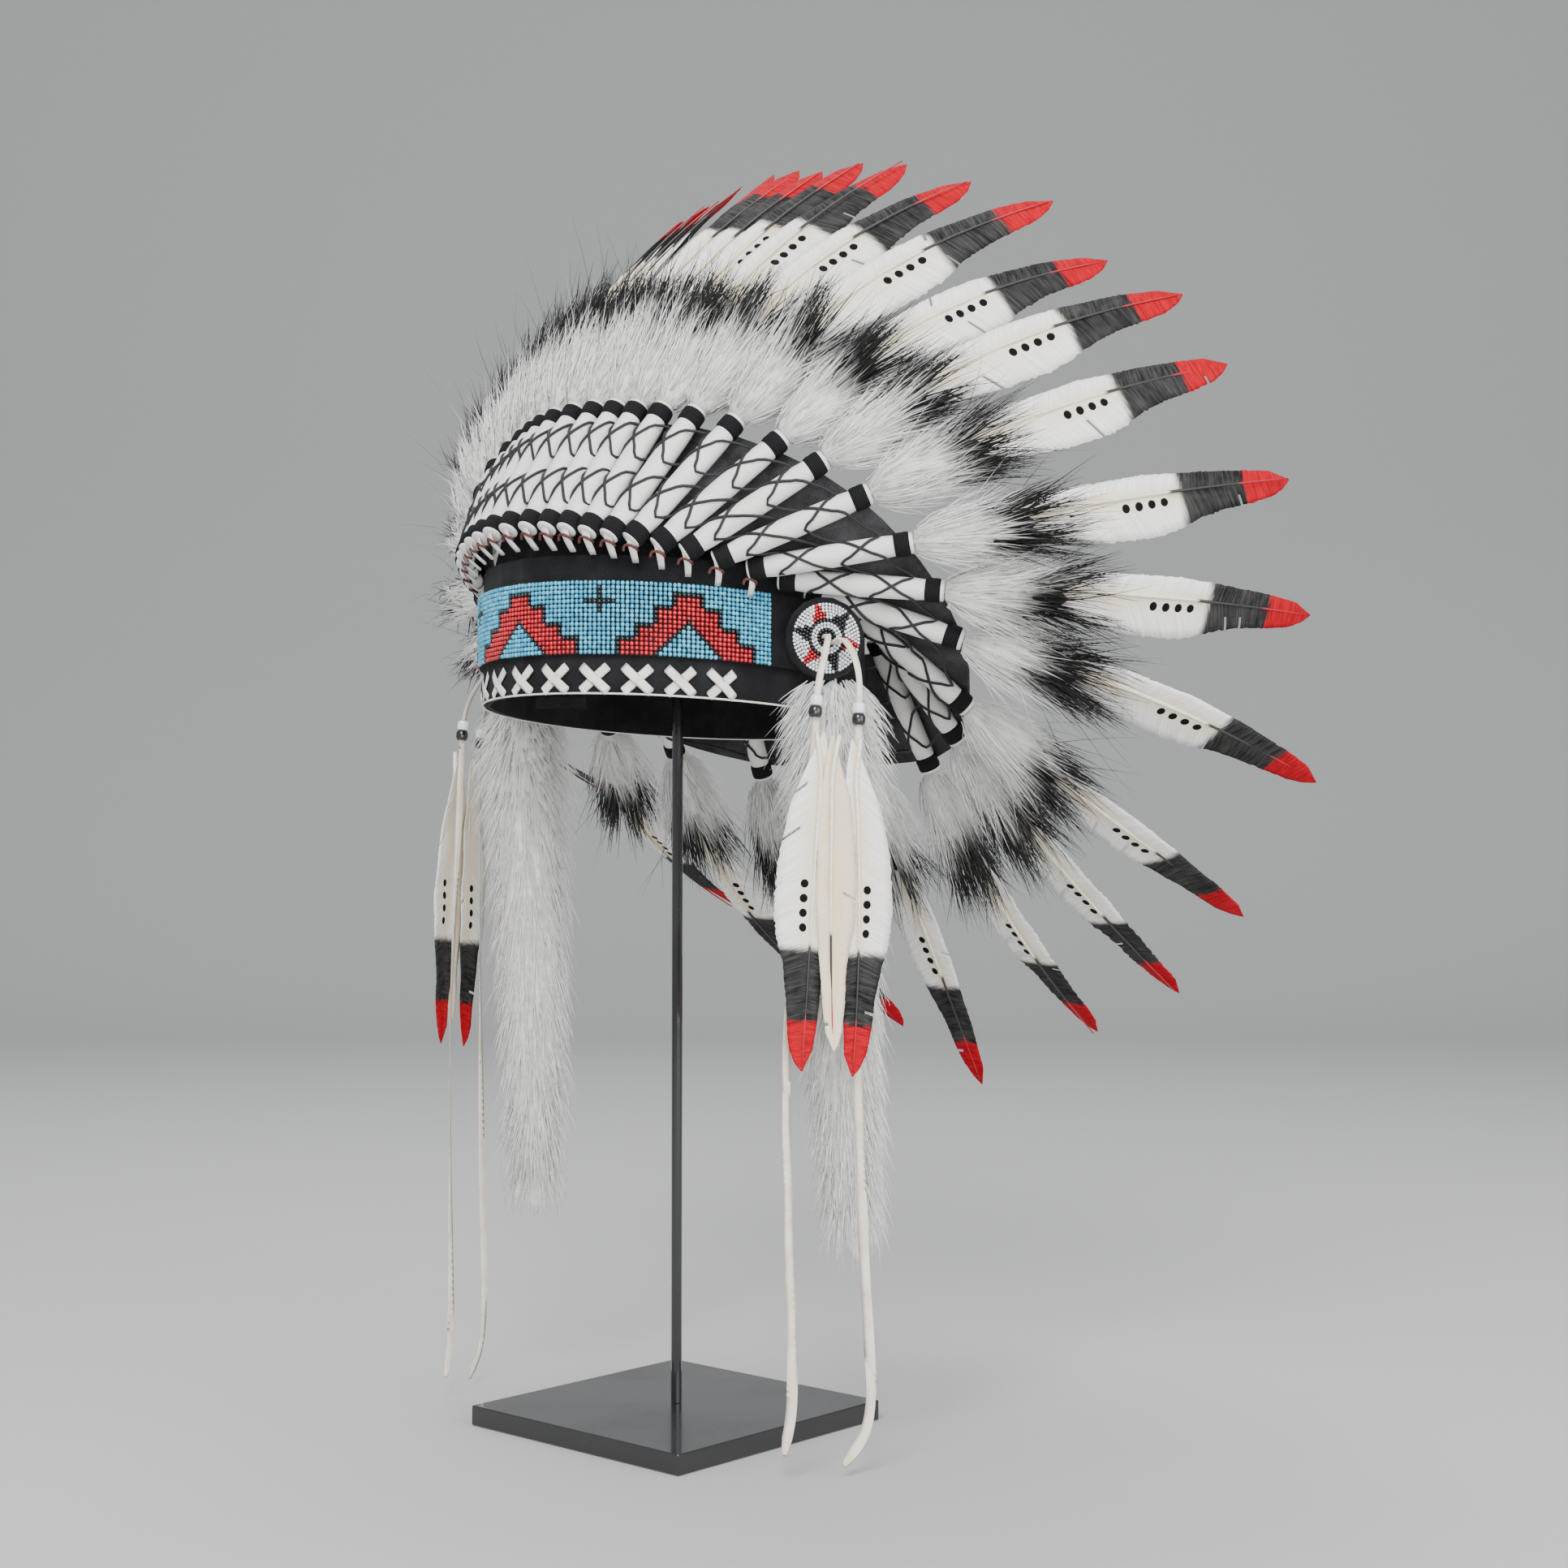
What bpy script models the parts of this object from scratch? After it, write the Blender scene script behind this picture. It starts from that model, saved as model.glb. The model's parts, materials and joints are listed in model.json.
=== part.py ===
"""A feathered headdress on its display stand.

The wearer faces -Y and +X is the wearer's left. The origin is the middle of the plate's underside.
"""

import math

import bmesh
import bpy
from mathutils import Matrix, Vector

FRONT = Vector((0, -1, 0))
LEFT = Vector((1, 0, 0))
UP = Vector((0, 0, 1))

# Stand
PLATE_SIDE = 0.138
PLATE_THICK = 0.0095
PLATE_BEVEL = 0.0006
ROD_DIAMETER = 0.0052
KNOB_DIAMETER = 0.016

# Cap and band
HEAD_LENGTH = 0.200
HEAD_WIDTH = 0.168
BAND_BOTTOM = 0.338
BAND_HEIGHT = 0.062
BAND_FELT = 0.003
BAND_RISE = 0.05
CAP_FELT = 0.0025
CAP_HEIGHT = 0.072
CAP_INSET = 0.0033
ROUND_THE_HEAD = 30
STRIP_HEIGHT = 0.0330
STRIP_ABOVE_EDGE = 0.0172
STRIP_THICK = 0.0018
STRIP_HALF_SPAN = math.radians(88)
STRIP_STEPS = 20
GAP = 0.0003

# Quill rolls and the felt behind them
SEAT_ABOVE_STRIP = 0.0018
SEAT_HEIGHT = BAND_BOTTOM + STRIP_ABOVE_EDGE + STRIP_HEIGHT + SEAT_ABOVE_STRIP
SEAT_RISE = 0.022
SEAT_DISH = 0.008
ROLL_LENGTH = 0.0755
ROLL_RADIUS = 0.0050
WRAP_RADIUS = 0.0056
WRAP_LENGTH = 0.009
BORE_DEPTH = 0.014
THONG_RADIUS = 0.0015
BACKING_FELT = 0.0018
BACKING_START = 0.004
BACKING_END = 0.066
ROLL_SIDES = 6
THONG_SIDES = 4
FINEST_STEP = math.radians(8)

# Feathers
FEATHER_LENGTH = 0.213
QUILL_RADIUS = 0.0015
QUILL_OVAL = 0.85
STRAIGHT_QUILL = 0.038
BEND_SHARE = 0.36
CHORD_SHARE = 0.985
VANE_WIDTH = 0.027
VANE_THICK = 0.0016
VANE_FLAT = 0.35
VANE_TURN = math.radians(23)
MIDDLE_DROP = 0.005

# Fur
COLLAR_DEPTH = 0.013
COLLAR_BACK = 0.009
COLLAR_LAP = 0.0005
LOCK_REACH = 0.078
NOTCH_REACH = 0.056
NOTCH_START = 0.004
TUFT_WIDTH = 0.022
TAIL_LENGTH = 0.268
TAIL_RADIUS = 0.0165
TAIL_LOCK = 0.0225
TAIL_LOCK_DROP = 0.030
TAIL_LOCK_RADIUS = 0.0085
TAIL_LOCK_TIP = 0.0012

# Rosettes and what hangs from them
ROSETTE_DIAMETER = 0.038
ROSETTE_THICK = 0.0032
STEM_DIAMETER = 0.007
ROSETTE_DROP = 0.0215
ROSETTE_HEIGHT = SEAT_HEIGHT - ROSETTE_DROP
PENDANT_LENGTH = 0.148
PENDANT_WIDTH = 0.0235
PENDANT_BOW = 0.003
LACE_DIAMETER = 0.0032
TUBE_BEAD_DIAMETER = 0.0058
TUBE_BEAD_LENGTH = 0.0048
PONY_BEAD_DIAMETER = 0.0054
PONY_BEAD_LENGTH = 0.0052

# One row a feather, from the middle of the front round to the middle of the back, in degrees:
# seat is its place round the band, fan the way its roll leans (0 up, 90 out, 180 down), rise how
# far the roll stands off straight back, and vane_rise and vane_fan say the same of the feather.
# No two feathers are quite as long: longer is in millimetres over the common length.
FEATHER_ROWS = (
    # seat, fan, rise, vane_rise, vane_fan, longer
    (0.0, 0, 56, 45, 0, 0),
    (7.5, 1, 56, 44, 3, -3),
    (14.0, 2, 56, 44, 5, -6),
    (20.0, 3, 56, 44, 9, 2),
    (26.0, 6, 56, 44, 14, 4),
    (32.0, 13, 56, 41, 22, 3),
    (38.0, 24, 56, 39.5, 31, 8),
    (45.0, 37, 56, 35, 37, -3),
    (52.0, 48, 56, 34.5, 43, 6),
    (60.0, 62, 56, 32, 48, -3),
    (69.0, 80, 56, 27.5, 63, 1),
    (78.0, 96, 56, 22, 90, -2),
    (87.0, 113, 56, 29, 129, 0),
    (104.0, 145, 50, 32, 153, -2),
    (120.0, 164, 52, 39, 167, 2),
    (148.0, 173, 62, 43, 177, -2),
    (180.0, 180, 62, 58, 180, 0),
)

# Shares of the vane's length and of its full width and thickness.
VANE_ROWS = (
    # along, width, thick
    (0.05, 0.34, 1.9),
    (0.26, 0.94, 1.3),
    (0.58, 1.00, 1.0),
    (0.82, 0.66, 0.8),
    (1.00, 0.10, 0.5),
)

# The collar's section: distance up the quill and out from it, as shares of its reach and depth.
COLLAR_ROWS = (
    # along, out
    (0.00, 0.48),
    (0.30, 1.00),
    (1.00, 0.62),
    (0.47, 0.20),
)
COLLAR_BACK_ROWS = (
    # along, out
    (0.42, -0.42),
    (0.62, -0.95),
    (0.22, -1.00),
    (0.00, -0.62),
)

# A fur tail's core: share of its length, share of its radius.
TAIL_ROWS = ((0.0, 0.42), (0.10, 0.80), (0.35, 1.0), (0.65, 0.92), (0.88, 0.74), (1.0, 0.25))
TAIL_LOCK_ROWS = (0.16, 0.34, 0.52, 0.70, 0.86)
LOCKS_ROUND = 4

# Each temple: its name, its side, the disc's turn to the front, and the disc's centre, given
# forward of the ears and out from the widest place of the band.
TEMPLES = (
    # name, side, turn, forward, out
    ("left", 1, math.radians(30), 0.0105, 0.0194),
    ("right", -1, math.radians(22), 0.0105, 0.0226),
)

# What hangs from a temple is placed along the disc (to the back), out from it, and by its drop
# below the disc's centre.
TAIL_ROUTE = (
    # along, out, drop
    (0.004, -0.002, 0.0189),
    (0.009, -0.006, 0.1485),
    (0.0165, -0.005, 0.2855),
)
PENDANTS = (
    # name, along at the top, middle and bottom, out, drop, shares of the length and width
    ("front", -0.0135, -0.0198, -0.0215, 0.0269, 0.0435, 1.00, 1.00),
    ("middle", -0.0035, -0.0060, -0.0075, 0.0284, 0.0455, 0.93, 0.52),
    ("back", 0.0070, 0.0085, 0.0020, 0.0269, 0.0465, 1.00, 0.98),
)
FRONT_LACE = (
    # along, out, drop
    (-0.0012, 0.0027, -0.0007),
    (-0.0024, 0.0110, -0.0005),
    (-0.0060, 0.0175, 0.0075),
    (-0.0100, 0.0218, 0.0185),
    (-0.0125, 0.0235, 0.0315),
    (-0.0135, 0.0238, 0.0485),
    (-0.0165, 0.0232, 0.0785),
    (-0.0225, 0.0228, 0.1385),
    (-0.0258, 0.0225, 0.1885),
    (-0.0247, 0.0225, 0.2576),
    (-0.0232, 0.0225, 0.3291),
    (-0.0270, 0.0230, 0.3560),
)
BACK_LACE = (
    # along, out, drop
    (0.0024, 0.0026, 0.0020),
    (0.0045, 0.0110, 0.0005),
    (0.0075, 0.0175, 0.0085),
    (0.0085, 0.0218, 0.0205),
    (0.0075, 0.0235, 0.0345),
    (0.0070, 0.0238, 0.0515),
    (0.0068, 0.0232, 0.0785),
    (0.0066, 0.0228, 0.1385),
    (0.0072, 0.0225, 0.1885),
    (0.0093, 0.0225, 0.2576),
    (0.0123, 0.0225, 0.3112),
    (0.0131, 0.0228, 0.3326),
    (0.0100, 0.0232, 0.3495),
    (0.0000, 0.0240, 0.3625),
)
LACE_POINTS = 20
BEAD_DROPS = {"front": 0.0325, "back": 0.0355}


def clear_scene():
    for obj in list(bpy.data.objects):
        bpy.data.objects.remove(obj, do_unlink=True)


def new_collection(name, hidden=False):
    collection = bpy.data.collections.new(name)
    bpy.context.scene.collection.children.link(collection)
    collection.hide_render = hidden
    return collection


def material(name, colour, roughness, metallic=0.0):
    made = bpy.data.materials.new(name)
    made.use_nodes = True
    shader = made.node_tree.nodes["Principled BSDF"]
    shader.inputs["Base Color"].default_value = (*colour, 1.0)
    shader.inputs["Roughness"].default_value = roughness
    shader.inputs["Metallic"].default_value = metallic
    return made


def add_object(name, mesh, finish, smooth=True):
    obj = bpy.data.objects.new(name, mesh)
    PARTS.objects.link(obj)
    mesh.materials.append(finish)
    if smooth:
        mesh.shade_smooth()
        mesh.set_sharp_from_angle(angle=math.radians(40))
    return obj


def finish_mesh(name, bm):
    bmesh.ops.recalc_face_normals(bm, faces=bm.faces)
    mesh = bpy.data.meshes.new(name)
    bm.to_mesh(mesh)
    bm.free()
    return mesh


def combine(obj, name, bm, operation):
    """Cuts the shapes of bm from the object, or joins them to it, by a Boolean."""
    helper = bpy.data.objects.new(name, finish_mesh(name, bm))
    HELPERS.objects.link(helper)
    helper.hide_render = True
    helper.display_type = "WIRE"
    boolean = obj.modifiers.new(name, "BOOLEAN")
    boolean.operation = operation
    boolean.solver = "EXACT"
    boolean.use_self = operation == "UNION"
    boolean.object = helper


def loft_into(bm, rings, closed=False):
    """Joins rings of as many points each; a closed loft runs round to its first ring."""
    rows = [[bm.verts.new(point) for point in ring] for ring in rings]
    count = len(rows[0])
    following = rows[1:] + rows[:1] if closed else rows[1:]
    for row, after in zip(rows, following):
        for i in range(count):
            j = (i + 1) % count
            bm.faces.new((row[i], row[j], after[j], after[i]))
    if not closed:
        bm.faces.new(rows[0])
        bm.faces.new(rows[-1])


def loft(name, rings, closed=False):
    bm = bmesh.new()
    loft_into(bm, rings, closed)
    return finish_mesh(name, bm)


def turned_into(bm, profile, sides, place):
    """Turns a profile of (along, radius) rows about the z axis of place, with flat ends."""
    loft_into(bm, [circle(radius, sides, place, along, 0.5) for along, radius in profile])


def turned(name, profile, sides, place):
    bm = bmesh.new()
    turned_into(bm, profile, sides, place)
    return finish_mesh(name, bm)


def circle(radius, sides, place, along=0.0, start=0.0):
    """Points evenly round the z axis of place; start is the first one's turn, in steps."""
    angles = [math.tau * (i + start) / sides for i in range(sides)]
    return [place @ Vector((radius * math.cos(a), radius * math.sin(a), along)) for a in angles]


def frame_at(origin, along, towards):
    """A placing matrix with its z axis along and its x axis as near towards as it can be."""
    z = along.normalized()
    x = (towards - z * towards.dot(z)).normalized()
    return Matrix.Translation(origin) @ Matrix((x, z.cross(x), z)).transposed().to_4x4()


# The band and the seats of the rolls


def band_point(seat, out, height):
    """A point out from the band at this place round it, at this height at the middle of the head."""
    forward = (HEAD_LENGTH / 2 + out) * math.cos(seat)
    side = (HEAD_WIDTH / 2 + out) * math.sin(seat)
    return forward * FRONT + side * LEFT + (height + BAND_RISE * forward) * UP


def band_normal(seat):
    forward = HEAD_WIDTH * math.cos(seat)
    side = HEAD_LENGTH * math.sin(seat)
    return (forward * FRONT + side * LEFT).normalized()


def lean(rise, fan):
    """A direction that stands off straight back by rise and leans by fan."""
    return (
        -math.cos(rise) * FRONT
        + math.sin(rise) * math.sin(fan) * LEFT
        + math.sin(rise) * math.cos(fan) * UP
    )


def face(rise, fan):
    """The normal of the crown's front face where a direction leans like this."""
    return (
        math.sin(rise) * FRONT
        + math.cos(rise) * math.sin(fan) * LEFT
        + math.cos(rise) * math.cos(fan) * UP
    )


class Station:
    """One place round the crown: the foot of a roll, its direction and its front."""

    def __init__(self, seat, fan, rise):
        self.seat, self.fan, self.rise = seat, fan, rise
        self.direction = lean(rise, fan)
        self.front = face(rise, fan)
        normal = band_normal(seat)
        tilt = self.direction.dot(normal)
        reach = WRAP_RADIUS * math.sqrt(1 - tilt * tilt) + max(tilt, 0) * WRAP_LENGTH / 2
        forward = math.cos(seat)
        height = SEAT_HEIGHT + SEAT_RISE * forward + SEAT_DISH * forward * forward
        on_band = band_point(seat, 0, 0)
        self.foot = Vector((on_band.x, on_band.y, height)) + (STRIP_THICK + 2 * GAP + reach) * normal

    def at(self, along, out=0.0):
        return self.foot + along * self.direction + out * self.front

    def place(self):
        return frame_at(self.foot, self.direction, self.front)


def crown_rows():
    """The rows right round the crown: up the left side to the back and home by the right."""
    rows = [(*(math.radians(value) for value in row[:5]), row[5] / 1000) for row in FEATHER_ROWS]
    mirrored = [
        (math.tau - seat, math.tau - fan, rise, vane_rise, math.tau - vane_fan, longer)
        for seat, fan, rise, vane_rise, vane_fan, longer in rows[-2:0:-1]
    ]
    return rows + mirrored


def between(row, after, share):
    """The seat, fan and rise part of the way to the next feather, a whole turn on at the last."""
    turn = math.tau if after[0] < row[0] else 0.0
    seat = row[0] + share * (after[0] + turn - row[0])
    fan = row[1] + share * (after[1] + turn - row[1])
    return seat, fan, row[2] + share * (after[2] - row[2])


def finer_stations(rows):
    """Stations close enough together that a strip laid through them follows the round band."""
    stations = []
    for i, row in enumerate(rows):
        after = rows[(i + 1) % len(rows)]
        step = between(row, after, 1.0)[0] - row[0]
        count = math.ceil(step / FINEST_STEP)
        stations += [Station(*between(row, after, j / count)) for j in range(count)]
    return stations


def roll_start():
    return -WRAP_LENGTH / 2


def roll_end():
    return roll_start() + ROLL_LENGTH


# Stand


def build_plate():
    bm = bmesh.new()
    bmesh.ops.create_cube(bm, size=1.0)
    bmesh.ops.scale(bm, vec=(PLATE_SIDE, PLATE_SIDE, PLATE_THICK), verts=bm.verts)
    bmesh.ops.translate(bm, vec=(0, 0, PLATE_THICK / 2), verts=bm.verts)
    plate = add_object("stand_plate", finish_mesh("stand_plate", bm), BLACK_STEEL)
    bevel = plate.modifiers.new("edges", "BEVEL")
    bevel.width = PLATE_BEVEL
    bevel.segments = 1


def cap_height_at(forward, side):
    """The height of the cap's inner face over a point, worked out from its two half lengths."""
    length = HEAD_LENGTH / 2 - BAND_FELT - CAP_INSET
    width = HEAD_WIDTH / 2 - BAND_FELT - CAP_INSET
    inside = max(0.0, 1 - (forward / length) ** 2 - (side / width) ** 2)
    return cap_base() + (CAP_HEIGHT - CAP_FELT) * math.sqrt(inside) + BAND_RISE * forward


def cap_base():
    return BAND_BOTTOM + BAND_HEIGHT - CAP_INSET


def build_rod():
    """The rod ends in a plain round knob under the top of the cap."""
    top = cap_height_at(0, 0) - GAP
    knob = KNOB_DIAMETER / 2
    rod = ROD_DIAMETER / 2
    neck = math.asin(rod / knob)
    profile = [(PLATE_THICK + GAP, rod)]
    steps = 5
    for i in range(steps):
        angle = neck + (math.pi - neck) * i / steps
        profile.append((top - knob - knob * math.cos(angle), knob * math.sin(angle)))
    profile.append((top, knob * 0.12))
    add_object("stand_rod", turned("stand_rod", profile, 12, Matrix.Identity(4)), BLACK_STEEL)


# Felt


def build_headband():
    low, high = BAND_BOTTOM, BAND_BOTTOM + BAND_HEIGHT
    rings = []
    count = ROUND_THE_HEAD
    for i in range(count):
        seat = math.tau * i / count
        rings.append([
            band_point(seat, 0, low),
            band_point(seat, 0, high),
            band_point(seat, -BAND_FELT, high),
            band_point(seat, -BAND_FELT, low),
        ])
    add_object("headband", loft("headband", rings, closed=True), BLACK_FELT)


def build_cap():
    """A dome of felt that starts inside the top of the band and is open below."""
    rim = BAND_FELT + GAP
    count, levels = ROUND_THE_HEAD, 4
    bm = bmesh.new()

    def ring(inset, lift, share):
        angle = math.pi / 2 * share
        points = []
        for i in range(count):
            seat = math.tau * i / count
            forward = (HEAD_LENGTH / 2 - inset) * math.cos(angle) * math.cos(seat)
            side = (HEAD_WIDTH / 2 - inset) * math.cos(angle) * math.sin(seat)
            height = cap_base() + lift * math.sin(angle) + BAND_RISE * forward
            points.append(forward * FRONT + side * LEFT + height * UP)
        return points

    outer = [ring(rim, CAP_HEIGHT, i / levels) for i in range(levels)]
    inner = [ring(rim + CAP_FELT, CAP_HEIGHT - CAP_FELT, i / levels) for i in range(levels)]
    loft_into(bm, list(reversed(inner)) + outer)
    caps = [f for f in bm.faces if len(f.verts) == count]
    tops = (cap_base() + CAP_HEIGHT - CAP_FELT, cap_base() + CAP_HEIGHT)
    for cap, height in zip(caps, tops):
        poked = bmesh.ops.poke(bm, faces=[cap])
        poked["verts"][0].co = height * UP
    add_object("cap_felt", finish_mesh("cap_felt", bm), BLACK_FELT)


def build_strip():
    low = BAND_BOTTOM + STRIP_ABOVE_EDGE
    rings = []
    count = STRIP_STEPS
    for i in range(count + 1):
        seat = STRIP_HALF_SPAN * (2 * i / count - 1)
        rings.append([
            band_point(seat, GAP, low),
            band_point(seat, GAP, low + STRIP_HEIGHT),
            band_point(seat, STRIP_THICK, low + STRIP_HEIGHT),
            band_point(seat, STRIP_THICK, low),
        ])
    add_object("bead_strip", loft("bead_strip", rings), BLUE_BEADS)


def build_backing(stations):
    """Felt behind the rolls, from just past their feet to their upper wraps."""
    near = WRAP_RADIUS + 2 * GAP
    far = near + BACKING_FELT
    rings = []
    for i, station in enumerate(stations):
        before, after = stations[i - 1], stations[(i + 1) % len(stations)]
        behind = []
        for along in (BACKING_START, BACKING_END):
            across = after.at(along) - before.at(along)
            behind.append(station.direction.cross(across).normalized())
        rings.append([
            station.at(BACKING_START) + near * behind[0],
            station.at(BACKING_END) + near * behind[1],
            station.at(BACKING_END) + far * behind[1],
            station.at(BACKING_START) + far * behind[0],
        ])
    add_object("crown_felt", loft("crown_felt", rings, closed=True), GREY_FELT)


# Rolls, feathers and fur


def build_rolls(stations):
    """Every roll is turned, bored for its quill, and strung on one thong through its foot."""
    bm = bmesh.new()
    start, end = roll_start(), roll_end()
    bore = QUILL_RADIUS + GAP
    profile = [
        (start, WRAP_RADIUS),
        ((start + end) / 2, ROLL_RADIUS),
        (end, WRAP_RADIUS),
        (end, bore),
        (end - BORE_DEPTH, bore),
    ]
    for station in stations:
        turned_into(bm, profile, ROLL_SIDES, station.place())
    rings = []
    for i, station in enumerate(stations):
        along = stations[(i + 1) % len(stations)].foot - stations[i - 1].foot
        rings.append(circle(THONG_RADIUS, THONG_SIDES, frame_at(station.foot, along, UP)))
    rolls = add_object("quill_rolls", loft("quill_rolls", rings, closed=True), WHITE_LEATHER)
    combine(rolls, "rolls", bm, "UNION")


def feather_curve(station, vane_rise, vane_fan, longer, lift):
    """The quill is straight out of its roll and fur, then bends back along a quadratic curve."""
    start = roll_end() - BORE_DEPTH + 2 * GAP
    straight_end = roll_end() + STRAIGHT_QUILL
    free = FEATHER_LENGTH + longer - (straight_end - start)
    first = station.at(straight_end)
    control = first + BEND_SHARE * free * station.direction + lift * station.front
    last = first + CHORD_SHARE * free * lean(vane_rise, vane_fan) + lift * station.front
    return start, straight_end, (first, control, last)


def on_curve(curve, share):
    first, control, last = curve
    point = (1 - share) ** 2 * first + 2 * share * (1 - share) * control + share ** 2 * last
    along = (1 - share) * (control - first) + share * (last - control)
    return point, along.normalized()


def section(point, along, front, width, thick):
    """Six points: both edges of the vane, and two on each of its faces."""
    across = along.cross(front).normalized()
    up = across.cross(along).normalized()
    edge, shoulder = width / 2 * across, VANE_FLAT * width / 2 * across
    out = thick / 2 * up
    return [
        point - edge,
        point - shoulder + out,
        point + shoulder + out,
        point + edge,
        point + shoulder - out,
        point - shoulder - out,
    ]


def build_feather(name, station, vane_rise, vane_fan, longer):
    """The vanes lap: each is turned about its shaft, most at the front, where one lies behind."""
    on_left = math.sin(station.seat)
    turn = 0.0 if abs(on_left) < 0.01 else math.copysign(VANE_TURN, on_left)
    turn *= abs(math.cos(station.seat / 2))
    lift = -MIDDLE_DROP if station.seat == 0 else 0.0
    start, straight_end, curve = feather_curve(station, vane_rise, vane_fan, longer, lift)
    front = face(vane_rise, vane_fan)
    quill = 2 * QUILL_RADIUS
    rings = [
        section(station.at(start), station.direction, front, quill, QUILL_OVAL * quill),
        section(station.at(straight_end), station.direction, front, quill, QUILL_OVAL * quill),
    ]
    for share, width, thick in VANE_ROWS:
        point, along = on_curve(curve, share)
        turned_front = Matrix.Rotation(turn, 3, along) @ front
        rings.append(section(point, along, turned_front, width * VANE_WIDTH, thick * VANE_THICK))
    add_object(name, loft(name, rings), FEATHER)


def build_collar(rows, stations):
    """A ring of fur, long at each feather and notched between, that seats on the upper wraps."""
    base = roll_end() - COLLAR_LAP
    rings = []
    for i, row in enumerate(rows):
        after = rows[(i + 1) % len(rows)]
        spread = (stations[(i + 1) % len(rows)].at(base) - stations[i].at(base)).length
        near = min(1.0, TUFT_WIDTH / spread)
        notch = Station(*between(row, after, 0.5))
        for station, start, reach, size in (
            (stations[i], base, LOCK_REACH, 1.0),
            (notch, base + NOTCH_START, NOTCH_REACH * (0.45 + 0.55 * near), 0.35 + 0.5 * near),
        ):
            ring = []
            for along, out in COLLAR_ROWS:
                ring.append(station.at(start + along * reach, out * size * COLLAR_DEPTH))
            for along, out in COLLAR_BACK_ROWS:
                ring.append(station.at(start + along * reach, out * size * COLLAR_BACK))
            rings.append(ring)
    collar = add_object("fur_collar", loft("fur_collar", rings, closed=True), WHITE_FUR)
    bm = bmesh.new()
    spread = 1 / math.cos(math.pi / ROLL_SIDES)
    socket, hole = WRAP_RADIUS + GAP * spread, (QUILL_RADIUS + GAP) * spread
    profile = [
        (roll_start() + ROLL_LENGTH / 2, socket),
        (roll_end() + GAP, socket),
        (roll_end() + GAP, hole),
        (roll_end() + LOCK_REACH, hole),
    ]
    for station in stations:
        turned_into(bm, profile, ROLL_SIDES, station.place())
    combine(collar, "quill_holes", bm, "DIFFERENCE")


# Temples


class Temple:
    """The beaded disc at one temple, and places given along it, out from it and by their drop."""

    def __init__(self, name, side, turn, forward, out):
        self.name, self.side = name, side
        self.out = math.sin(turn) * FRONT + side * math.cos(turn) * LEFT
        self.back = -math.cos(turn) * FRONT + side * math.sin(turn) * LEFT
        self.centre = forward * FRONT + side * (HEAD_WIDTH / 2 + out) * LEFT + ROSETTE_HEIGHT * UP

    def at(self, along, out, drop):
        return self.centre + along * self.back + out * self.out - drop * UP


def build_rosette(temple):
    """A flat disc with a rounded rim, and the short stem that ties it to the band behind."""
    radius = ROSETTE_DIAMETER / 2
    half = ROSETTE_THICK / 2
    face_gap = HEAD_WIDTH / 2 + STRIP_THICK + GAP
    depth = (abs(temple.centre.x) - face_gap) / abs(temple.out.x)
    depth -= STEM_DIAMETER / 2 * abs(temple.out.y)
    profile = [
        (-depth, STEM_DIAMETER / 2),
        (-half, STEM_DIAMETER / 2),
        (-half, radius - half / 2),
        (0.0, radius),
        (half, radius - half / 2),
    ]
    name = "rosette_" + temple.name
    place = frame_at(temple.centre, temple.out, UP)
    add_object(name, turned(name, profile, 16, place), WHITE_BEADS)


def smooth_route(points, count):
    """Points at even steps along a smooth curve through the given ones."""
    fine = []
    padded = [2 * points[0] - points[1], *points, 2 * points[-1] - points[-2]]
    steps = 16
    for i in range(len(points) - 1):
        before, here, there, beyond = padded[i:i + 4]
        for j in range(steps):
            t = j / steps
            fine.append(
                0.5 * (
                    2 * here
                    + t * (there - before)
                    + t * t * (2 * before - 5 * here + 4 * there - beyond)
                    + t ** 3 * (3 * here - before - 3 * there + beyond)
                )
            )
    fine.append(points[-1])
    lengths = [0.0]
    for a, b in zip(fine, fine[1:]):
        lengths.append(lengths[-1] + (b - a).length)
    route = []
    at = 0
    for i in range(count):
        wanted = lengths[-1] * i / (count - 1)
        while at < len(fine) - 2 and lengths[at + 1] < wanted:
            at += 1
        share = (wanted - lengths[at]) / max(lengths[at + 1] - lengths[at], 1e-9)
        route.append(fine[at].lerp(fine[at + 1], min(share, 1.0)))
    return route


def build_tail(temple):
    """A tapering core with pointed locks fused round it."""
    top, middle, bottom = [temple.at(*row) for row in TAIL_ROUTE]
    steps = 40
    route = smooth_route([top, middle, bottom], steps + 1)
    core_share = 0.97 * TAIL_LENGTH / (top - bottom).length

    def place_at(share):
        at = min(int(share * steps), steps - 1)
        point = route[at].lerp(route[at + 1], share * steps - at)
        return frame_at(point, route[at] - route[at + 1], temple.out)

    bm = bmesh.new()
    rings = [circle(size * TAIL_RADIUS, 8, place_at(share * core_share)) for share, size in TAIL_ROWS]
    core = loft("fur_tail_" + temple.name, rings)
    tail = add_object("fur_tail_" + temple.name, core, WHITE_FUR)
    for row, share in enumerate(TAIL_LOCK_ROWS):
        for i in range(LOCKS_ROUND):
            place = place_at(share)
            angle = math.tau * (i + 0.5 * (row % 2)) / LOCKS_ROUND
            aside = place.to_3x3() @ Vector((math.cos(angle), math.sin(angle), 0))
            down = place.to_3x3() @ Vector((0, 0, -1))
            size = min(1.0, 1.35 - share)
            root = place.translation + 0.55 * size * TAIL_RADIUS * aside
            tip = place.translation + size * TAIL_LOCK * aside + TAIL_LOCK_DROP * down
            profile = [(0, size * TAIL_LOCK_RADIUS), ((tip - root).length, TAIL_LOCK_TIP)]
            turned_into(bm, profile, 4, frame_at(root, tip - root, aside))
    combine(tail, "locks_" + temple.name, bm, "UNION")


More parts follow.
